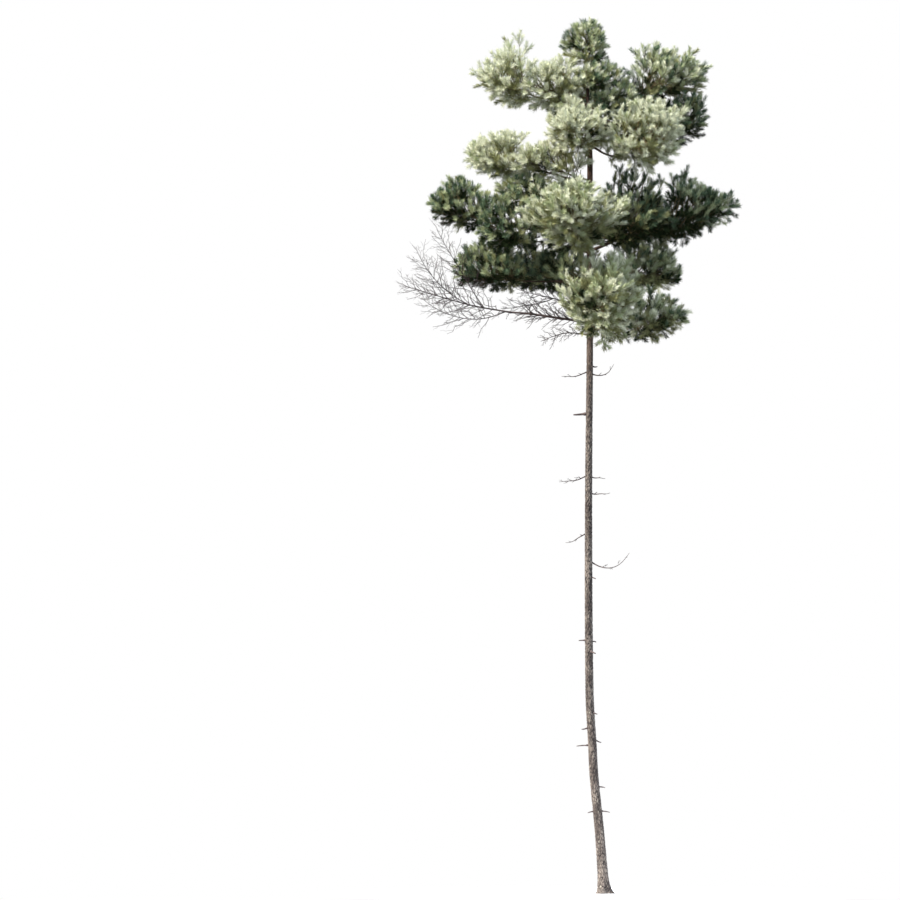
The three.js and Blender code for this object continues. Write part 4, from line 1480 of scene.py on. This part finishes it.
@dataclass
class Growth:
    """How one pad grows: by the rule of its solid, and then by finer rounds of it.

    Twigs point outwards by twig_back at the limb's root and by twig_ahead at its tip.
    The girths of a spray are shares of its width, and its width is one of its length.
    """

    crown: Crown
    pad: Pad
    twig_first: float = 0.2
    twig_last: float = 0.98
    twig_least: float = 0.07
    twig_back: float = -0.2
    twig_ahead: float = 1.1
    twig_roll: float = 0.6
    neck_radius: float = 0.015
    limb_steps: int = 4
    spray_least: float = 0.5
    spray_varies: float = 0.25
    short_of_room: float = 0.86
    past_room: float = 1.12
    spray_width: float = 0.42
    spray_turn: float = 0.75
    middle: float = 0.6
    tip_girth: float = 0.8
    middle_girth: float = 0.6
    side_sprays: tuple[float, float] = (0.85, 0.55)
    end_stretch: float = 2.0
    stray_draw: float = 1.06
    stray_rise: float = 0.1
    stray_stretch: float = 1.32
    rounds: tuple[Fineness, ...] = (
        Fineness(twigs=1.0, length=0.43, apart=0.345, lift=0.25, neighbour=0.86, between=0.06),
        Fineness(twigs=2.6, length=0.34, apart=0.2, lift=0.5, neighbour=0.8, between=-0.1,
                 round_back=-1.0),
        Fineness(twigs=6.0, length=0.27, apart=0.16, lift=0.6, neighbour=0.75, between=-0.15,
                 space=1.4, round_back=-1.6, strays=True),
    )
    tuft: Fineness = Fineness(twigs=9.0, length=0.26, apart=0.15, lift=0.5, neighbour=0.92,
                              between=-9.0, space=9.0)
    tuft_first: float = 0.3
    tuft_ahead: float = 0.7
    tuft_girth: float = 0.5

    def __post_init__(self) -> None:
        """Start with the pad's own numbers, and with nothing grown."""
        self.random = Seeded(self.pad.row.seed)
        self.twigs: list[tuple[Array, Array]] = []
        self.sprays: list[Spray] = []

    def clear(self, place: Array, girth: float, fineness: Fineness) -> bool:
        """Say whether a point is in the pad's own space, with that much room all round."""
        return bool(self.crown.clear(self.pad, place[None], girth, fineness)[0])

    def grow(self) -> None:
        """Grow the twigs, each as where it starts and where it ends, and the sprays."""
        end = self.pad.limb.points(np.array(1.0))
        first = self.rounds[0]
        ahead = unit(self.pad.frame[0] + UP * first.lift)
        self.add_spray(first, end, ahead, 0.0, (self.end_stretch * first.length, 1.0))
        for fineness in self.rounds:
            count = round(self.pad.row.twigs * fineness.twigs)
            for k in range(count):
                self.add_twig(fineness, (k + 0.5) / count, k)
        if self.pad.row.carried is Carried.BOUGH:
            self.add_tufts()

    def add_tufts(self) -> None:
        """Set sprays on the bough too, on its way to the pad, where there is room for them."""
        outward, sideways, _ = self.pad.frame
        count = round(self.tuft.twigs)
        for k in range(count):
            share = blend(self.tuft_first, 1.0, (k + self.random()) / count)
            around = k * GOLDEN_ANGLE + self.random() * self.twig_roll
            heading = unit(outward * self.tuft_ahead + sideways * math.cos(around)
                           + UP * (self.tuft.lift + math.sin(around)))
            length = self.tuft.length * (1 + self.spray_varies * self.random())
            spray = Spray(self.pad.bough.points(np.array(share)), heading, length, around, True, True)
            if self.clear(spray.at(1.0), self.tuft_girth * self.spray_width * length, self.tuft):
                self.sprays.append(spray)

    def add_twig(self, fineness: Fineness, share: float, number: int) -> None:
        """Grow one twig and its sprays, where there is room for them.

        Args:
            fineness: The round of growth.
            share: How far along the limb it starts.
            number: Its number in this round.
        """
        pad = self.pad
        along = blend(self.twig_first, self.twig_last, share)
        around = number * GOLDEN_ANGLE + self.random() * self.twig_roll
        draws = [self.random() for _ in range(2 * len(self.side_sprays) + 2)]
        root = pad.limb.on_steps(self.limb_steps, along)
        outward, sideways, upward = pad.frame
        behind = fineness.round_back if pad.row.carried is Carried.ROUND else self.twig_back
        way = unit(outward * blend(behind, self.twig_ahead, along)
                   + sideways * math.cos(around) + upward * math.sin(around))
        stretch = max(self.twig_least, pad.room(root, way) - fineness.length)
        neck = root + way * stretch
        if not self.clear(neck, self.neck_radius, fineness):
            return
        before = len(self.sprays)
        heading = unit(way + UP * fineness.lift)
        sizes = [(fineness.length * (1 + self.spray_varies * draw),
                  blend(self.short_of_room, self.past_room, draw)) for draw in draws]
        self.add_spray(fineness, neck, heading, draws[0], sizes[1])
        for side, place in enumerate(self.side_sprays):
            roll = side * math.pi + (draws[2 + 2 * side] - 0.5)
            aside = turned(heading, self.spray_turn, roll)
            start = root + (neck - root) * place
            self.add_spray(fineness, start, aside, roll, sizes[3 + 2 * side])
        if len(self.sprays) > before:
            self.twigs.append((root, neck))

    def add_spray(self, fineness: Fineness, start: Array, heading: Array, roll: float,
                  sizes: tuple[float, float]) -> None:
        """Add a spray, if it is long enough and clear of everything.

        Args:
            fineness: The round of growth.
            start: Where it starts.
            heading: Where it points.
            roll: How its fan is turned.
            sizes: How long it may be, and how much of the room ahead it may take.
        """
        length = min(sizes[0], sizes[1] * self.pad.room(start, heading))
        spray = Spray(start, heading, length, roll)
        if length <= self.spray_least * fineness.length:
            return
        tip, middle = spray.at(1.0), spray.at(self.middle)
        for other in self.sprays:
            if np.linalg.norm(other.at(1.0) - tip) <= fineness.apart:
                return
            if np.linalg.norm(other.at(self.middle) - middle) <= fineness.apart * self.middle:
                return
        width = self.spray_width * length
        if not self.clear(tip, self.tip_girth * width, fineness):
            return
        if not self.clear(middle, self.middle_girth * width, fineness):
            return
        if fineness.strays and sizes[1] > self.stray_draw and heading[2] > self.stray_rise:
            spray = Spray(start, heading, length * self.stray_stretch, roll, True)
        self.sprays.append(spray)


@dataclass(frozen=True)
class Shoots:
    """Shoots as arrays: where each starts, its direction, its length and its colour."""

    base: Array
    axis: Array
    length: Array
    green: Array


@dataclass
class Foliage(Growth):
    """A pad's growth, carried on to shoots and needles. Pairs are the ends of a range of chance."""

    shoot_every: float = 0.125
    shoot_first: float = 0.12
    shoot_last: float = 0.88
    shoot_longest: float = 0.26
    shoot_shortest: float = 0.15
    shoot_least: float = 0.075
    shoots_least: int = 3
    shoot_roll: tuple[float, float] = (-0.5, 0.5)
    shoot_turn: float = 0.6
    shoot_turn_varies: tuple[float, float] = (-0.2, 0.2)
    shoot_lift: float = 0.45
    shoot_varies: tuple[float, float] = (0.85, 1.1)
    shoot_past_room: tuple[float, float] = (0.85, 1.3)
    shoot_short_of_tip: float = 0.05
    shoot_girth: float = 0.02
    # Shoots deeper in the pad than the share shaded, and some below its middle by the chance underside, get
    # painted shade: mostly the painted shadow green in pads in shade, and olive in lit pads, where olive is
    # also the real colour of inner needles.
    hidden: float = 0.35
    shaded: float = 0.7
    underside: float = 0.4
    needles: int = 47
    needle_length: float = 0.108
    needle_varies: tuple[float, float] = (0.8, 1.15)
    needle_width: float = 0.0112
    needle_widest: float = 0.5
    needle_first: float = 0.06
    needle_crowding: float = 0.7
    needle_roll: tuple[float, float] = (-0.4, 0.4)
    needle_twist: float = 0.4
    sweep_base: float = 0.88
    sweep_tip: float = 0.52
    sweep_varies: tuple[float, float] = (-0.2, 0.2)
    needle_lift: float = 0.1
    # The share of a shoot, from its base, whose needles are older and painted one step darker as shade.
    old_and_shaded_base: float = 0.3
    limb: Stick = Stick(Pad.BOUGH_TIP, Pad.LIMB_TIP, 9, 14)
    twig: Stick = Stick(0.011, 0.007, 5, 3)
    twig_sag: float = 0.03
    spray: Stick = Stick(0.007, 0.0035, 4, 2)
    spray_drawn: float = 0.8
    shoot: Stick = Stick(0.0045, 0.0025, 3, 2)

    def __post_init__(self) -> None:
        """Add the pad's finer numbers."""
        super().__post_init__()
        self.finer = np.random.default_rng(self.pad.row.seed)

    def shoots(self) -> Shoots:
        """Fan shoots out of the sprays: one on at the end, and more to the sides.

        Returns:
            The shoots.
        """
        rows = []
        number = []
        for k, spray in enumerate(self.sprays):
            rows += self.fan(spray)
            number += [k] * (len(rows) - len(number))
        base = np.array([row[0] for row in rows])
        axis = unit(np.array([row[1] for row in rows]))
        length = np.array([row[2] for row in rows])
        tips = base + axis * length[:, None]
        reach = self.pad.reach(tips)
        tuft = np.array([spray.tuft for spray in self.sprays])[number]
        free = [self.crown.clear(self.pad, tips, self.shoot_girth, fineness)
                for fineness in (self.tuft, self.rounds[-1])]
        keep = np.where(tuft, *free) & (reach > self.hidden)
        *shares, dark = self.pad.row.tone.value
        green = self.finer.choice(len(shares), size=len(rows), p=np.array(shares) / sum(shares))
        low = (self.pad.centre[2] - tips[:, 2]) / self.pad.row.deep
        chance = self.finer.random((2, len(self.sprays)))[:, number]
        # Painted shade: shoots deep in the pad and some under its middle turn dark. The tone's last share
        # says how many take the painted shadow green, and the rest take olive.
        dim = (reach < self.shaded) | (chance[0] < (self.underside + dark) * low)
        deep = np.where(chance[1] < dark, GREENS.index(Green.PAINTED_SHADOW), GREENS.index(Green.OLIVE))
        green = np.where(dim, deep, green)
        return Shoots(base[keep], axis[keep], length[keep], green[keep])

    def fan(self, spray: Spray) -> list[tuple[Array, Array, float]]:
        """Give one spray's shoots.

        Args:
            spray: The spray.

        Returns:
            Where each starts, where it points and how long it is.
        """
        end = spray.length - self.shoot_short_of_tip
        longest = min(self.shoot_longest, end)
        rows = [(spray.start + spray.heading * (end - longest), spray.heading, longest)]
        count = max(self.shoots_least, round(spray.length / self.shoot_every))
        for k in range(count):
            share = blend(self.shoot_first, self.shoot_last, (k + self.finer.random()) / count)
            roll = spray.roll + k * GOLDEN_ANGLE + self.finer.uniform(*self.shoot_roll)
            angle = self.shoot_turn + self.finer.uniform(*self.shoot_turn_varies)
            way = unit(turned(spray.heading, angle, roll) + UP * self.shoot_lift)
            longest = blend(self.shoot_longest, self.shoot_shortest, share)
            past = blend(*self.shoot_past_room, self.finer.random() ** 2)
            room = longest if spray.stray else past * self.pad.room(spray.at(share), way)
            length = min(longest, room) * self.finer.uniform(*self.shoot_varies)
            if length > self.shoot_least:
                rows.append((spray.at(share), way, length))
        return rows

    def needle_mesh(self, shoots: Shoots) -> bpy.types.Mesh:
        """Set needles all round the shoots, each a slim blade that is widest near its middle.

        Args:
            shoots: The shoots.

        Returns:
            The mesh, with its faces dealt out to the material slots.
        """
        random = self.finer
        shape = (len(shoots.length), self.needles)
        along = (np.arange(self.needles) + random.random(shape)) / self.needles
        along = blend(self.needle_first, 1.0, along ** self.needle_crowding)
        around = np.arange(self.needles) * GOLDEN_ANGLE + random.uniform(*self.needle_roll, shape)
        sweep = blend(self.sweep_base, self.sweep_tip, along) + random.uniform(*self.sweep_varies, shape)
        across = unit(beside(shoots.axis))
        other = np.cross(shoots.axis, across)
        ring = (across[:, None] * np.cos(around)[..., None] + other[:, None] * np.sin(around)[..., None])
        way = shoots.axis[:, None] * np.cos(sweep)[..., None] + ring * np.sin(sweep)[..., None]
        way = unit(way + UP * self.needle_lift)
        root = shoots.base[:, None] + shoots.axis[:, None] * (along * shoots.length[:, None])[..., None]
        length = (self.needle_length * random.uniform(*self.needle_varies, shape))[..., None]
        facing = ring + self.needle_twist * random.normal(size=(*shape, 3))
        side = unit(np.cross(way, facing)) * (self.needle_width / 2)
        belly = root + way * length * self.needle_widest
        corners = np.stack([root, belly + side, root + way * length, belly - side], axis=2)
        faces = np.arange(corners.size // 3).reshape(-1, 4)
        mesh = mesh_of(f"needles_{self.pad.row.name}", corners.reshape(-1, 3), [faces])
        # Needles near the shoot's base: older, and one step darker as painted shade.
        older = np.array([GREENS.index(green) for green in OLD_AND_SHADED_GREENS])[shoots.green][:, None]
        green = np.where(along < self.old_and_shaded_base, older, shoots.green[:, None])
        mesh.polygons.foreach_set("material_index", green.ravel().astype(np.int32))
        return mesh

    def build(self) -> None:
        """Build the pad's limb, twigs and needles, and dress them."""
        name = self.pad.row.name
        self.grow()
        shoots = self.shoots()
        needles = shown(f"needles_{name}", self.needle_mesh(shoots), False)
        dress(needles, *(green.value for green in Green), replaced=f"foliage_{name}")
        tubes = Tubes()
        if self.pad.row.carried is not Carried.ROUND:
            limb = self.limb
            thick = self.pad.root_radius if self.pad.row.carried is Carried.STEM else limb.thick
            path = self.pad.limb.evenly(np.linspace(0.0, 1.0, limb.rings))
            tubes.add(path[None], np.linspace(thick, limb.thin, limb.rings)[None], limb.sides)
        roots, necks = np.moveaxis(np.array(self.twigs), 1, 0)
        sag = self.finer.uniform(-self.twig_sag, self.twig_sag, roots.shape) - UP * self.twig_sag
        tubes.bent(roots, necks, self.twig, sag)
        starts = np.array([spray.start for spray in self.sprays])
        ends = np.array([spray.at(self.spray_drawn) for spray in self.sprays])
        tubes.bent(starts, ends, self.spray)
        tips = shoots.base + shoots.axis * shoots.length[:, None]
        tubes.bent(shoots.base, tips, self.shoot)
        dress(tubes.build(f"twigs_{name}"), TWIG_BARK)
        LOG.info("%s: %d twigs, %d sprays, %d shoots", name, len(roots), len(starts), len(tips))


# The studio


@dataclass
class Studio:
    """A pale floor, soft light from the left, and a camera far in front of the tree."""

    image: int = 900
    pixel: float = 0.020595
    foot_x: int = 603
    foot_y: int = 892
    distance: float = 100.0
    eye: float = 2.5
    sensor: float = 36.0
    sun_left: float = 66.0
    sun_high: float = 42.0
    sun_strength: float = 8.2
    sun_colour: Colour = (1.0, 0.93, 0.82)
    sun_size: float = 5.0
    sky_strength: float = 1.8
    sky_colour: Colour = (0.72, 0.83, 1.0)
    ground_colour: Colour = (0.13, 0.13, 0.11)
    backdrop: Colour = (1.0, 1.0, 1.0)
    horizon: tuple[float, float] = (-0.15, 0.25)
    floor_radius: float = 6.0
    floor_sides: int = 96
    floor_colour: Colour = (0.9, 0.9, 0.9)
    floor_roughness: float = 0.9

    def build(self) -> None:
        """Set up everything that isn't part of the tree."""
        self.build_floor()
        self.build_camera()
        self.build_sun()
        self.build_sky()

    def build_floor(self) -> None:
        """Lay a round pale floor at ground level."""
        disc = bmesh.new()
        bmesh.ops.create_circle(disc, cap_ends=True, segments=self.floor_sides, radius=self.floor_radius)
        mesh = bpy.data.meshes.new("floor")
        disc.to_mesh(mesh)
        disc.free()
        floor = shown("floor", mesh, False)
        floor.data.materials.append(Shader.named("floor").finish(self.floor_colour, self.floor_roughness))

    def build_camera(self) -> None:
        """Stand the camera at the photograph's angle and frame the tree as it does."""
        centre_x = (self.image / 2 - self.foot_x) * self.pixel
        centre_z = (self.foot_y - self.image / 2) * self.pixel
        tilt = math.atan2(centre_z - self.eye, self.distance)
        lens = bpy.data.cameras.new("camera")
        lens.sensor_width = self.sensor
        reach = self.distance / math.cos(tilt)
        lens.lens = self.sensor * reach / (self.image * self.pixel)
        lens.clip_end = 3 * self.distance
        camera = bpy.data.objects.new("camera", lens)
        camera.location = (centre_x, -self.distance, self.eye)
        camera.rotation_euler = (math.pi / 2 + tilt, 0.0, 0.0)
        bpy.context.scene.collection.objects.link(camera)
        bpy.context.scene.camera = camera

    def build_sun(self) -> None:
        """Hang the soft warm light to the left of the tree."""
        lamp = bpy.data.lights.new("sun", "SUN")
        lamp.energy = self.sun_strength
        lamp.color = self.sun_colour
        lamp.angle = math.radians(self.sun_size)
        high = math.radians(self.sun_high)
        left = math.radians(self.sun_left)
        towards = Vector((-math.cos(high) * math.sin(left), -math.cos(high) * math.cos(left),
                          math.sin(high)))
        sun = bpy.data.objects.new("sun", lamp)
        sun.rotation_euler = towards.to_track_quat("Z", "Y").to_euler()
        bpy.context.scene.collection.objects.link(sun)

    def build_sky(self) -> None:
        """Light from all round: bluish from above, dim from below, and white behind the tree."""
        sky = Shader(bpy.data.worlds.new("sky"))
        place = sky.node("TexCoord", {}, {}, "Generated")
        height = sky.node("SeparateXYZ", {}, {0: place}, "Z")
        low, high = self.horizon
        rise = sky.node("MapRange", {}, {"Value": height, "From Min": low, "From Max": high})
        colour = sky.mix(self.ground_colour, self.sky_colour, rise)
        light = sky.node("Background", {}, {"Color": colour, "Strength": self.sky_strength})
        white = sky.node("Background", {}, {"Color": (*self.backdrop, 1.0)})
        seen = sky.node("LightPath", {}, {}, "Is Camera Ray")
        either = sky.node("MixShader", {}, {0: seen, 1: light, 2: white})
        sky.tree.nodes.remove(sky.tree.nodes["Background"])
        sky.feed(sky.tree.nodes["World Output"], {"Surface": either})
        bpy.context.scene.world = sky.owner
        bpy.context.scene.view_settings.view_transform = "Standard"


MADE: dict[Finish, bpy.types.Material] = {}


def dress(piece: bpy.types.Object, *finishes: Finish, replaced: Union[str, None] = None) -> None:
    """Give a piece its finishes, and fix it to the tree.

    Args:
        piece: The piece.
        finishes: Its finishes, in the order of its material slots.
        replaced: The solid that it stands for, if it stands for one.
    """
    for finish in finishes:
        if finish not in MADE:
            MADE[finish] = finish.material()
        piece.data.materials.append(MADE[finish])
    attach(piece, BODY)
    if replaced is not None:
        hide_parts(replaced)
    LOG.info("%s: %d faces", piece.name, len(piece.data.polygons))


def main() -> None:
    """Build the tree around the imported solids, and then the studio."""
    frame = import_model()
    LOG.info("dressing %d solids", len(frame["nodes"]))
    stem = Stem()
    deadwood = DeadWood()
    crown = Crown(stem)
    crown.lay_out(deadwood)
    stem.build()
    deadwood.build()
    crown.build()
    Studio().build()
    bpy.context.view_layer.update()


if __name__ == "__main__":
    logging.basicConfig(level=logging.INFO, format="%(message)s")
    main()
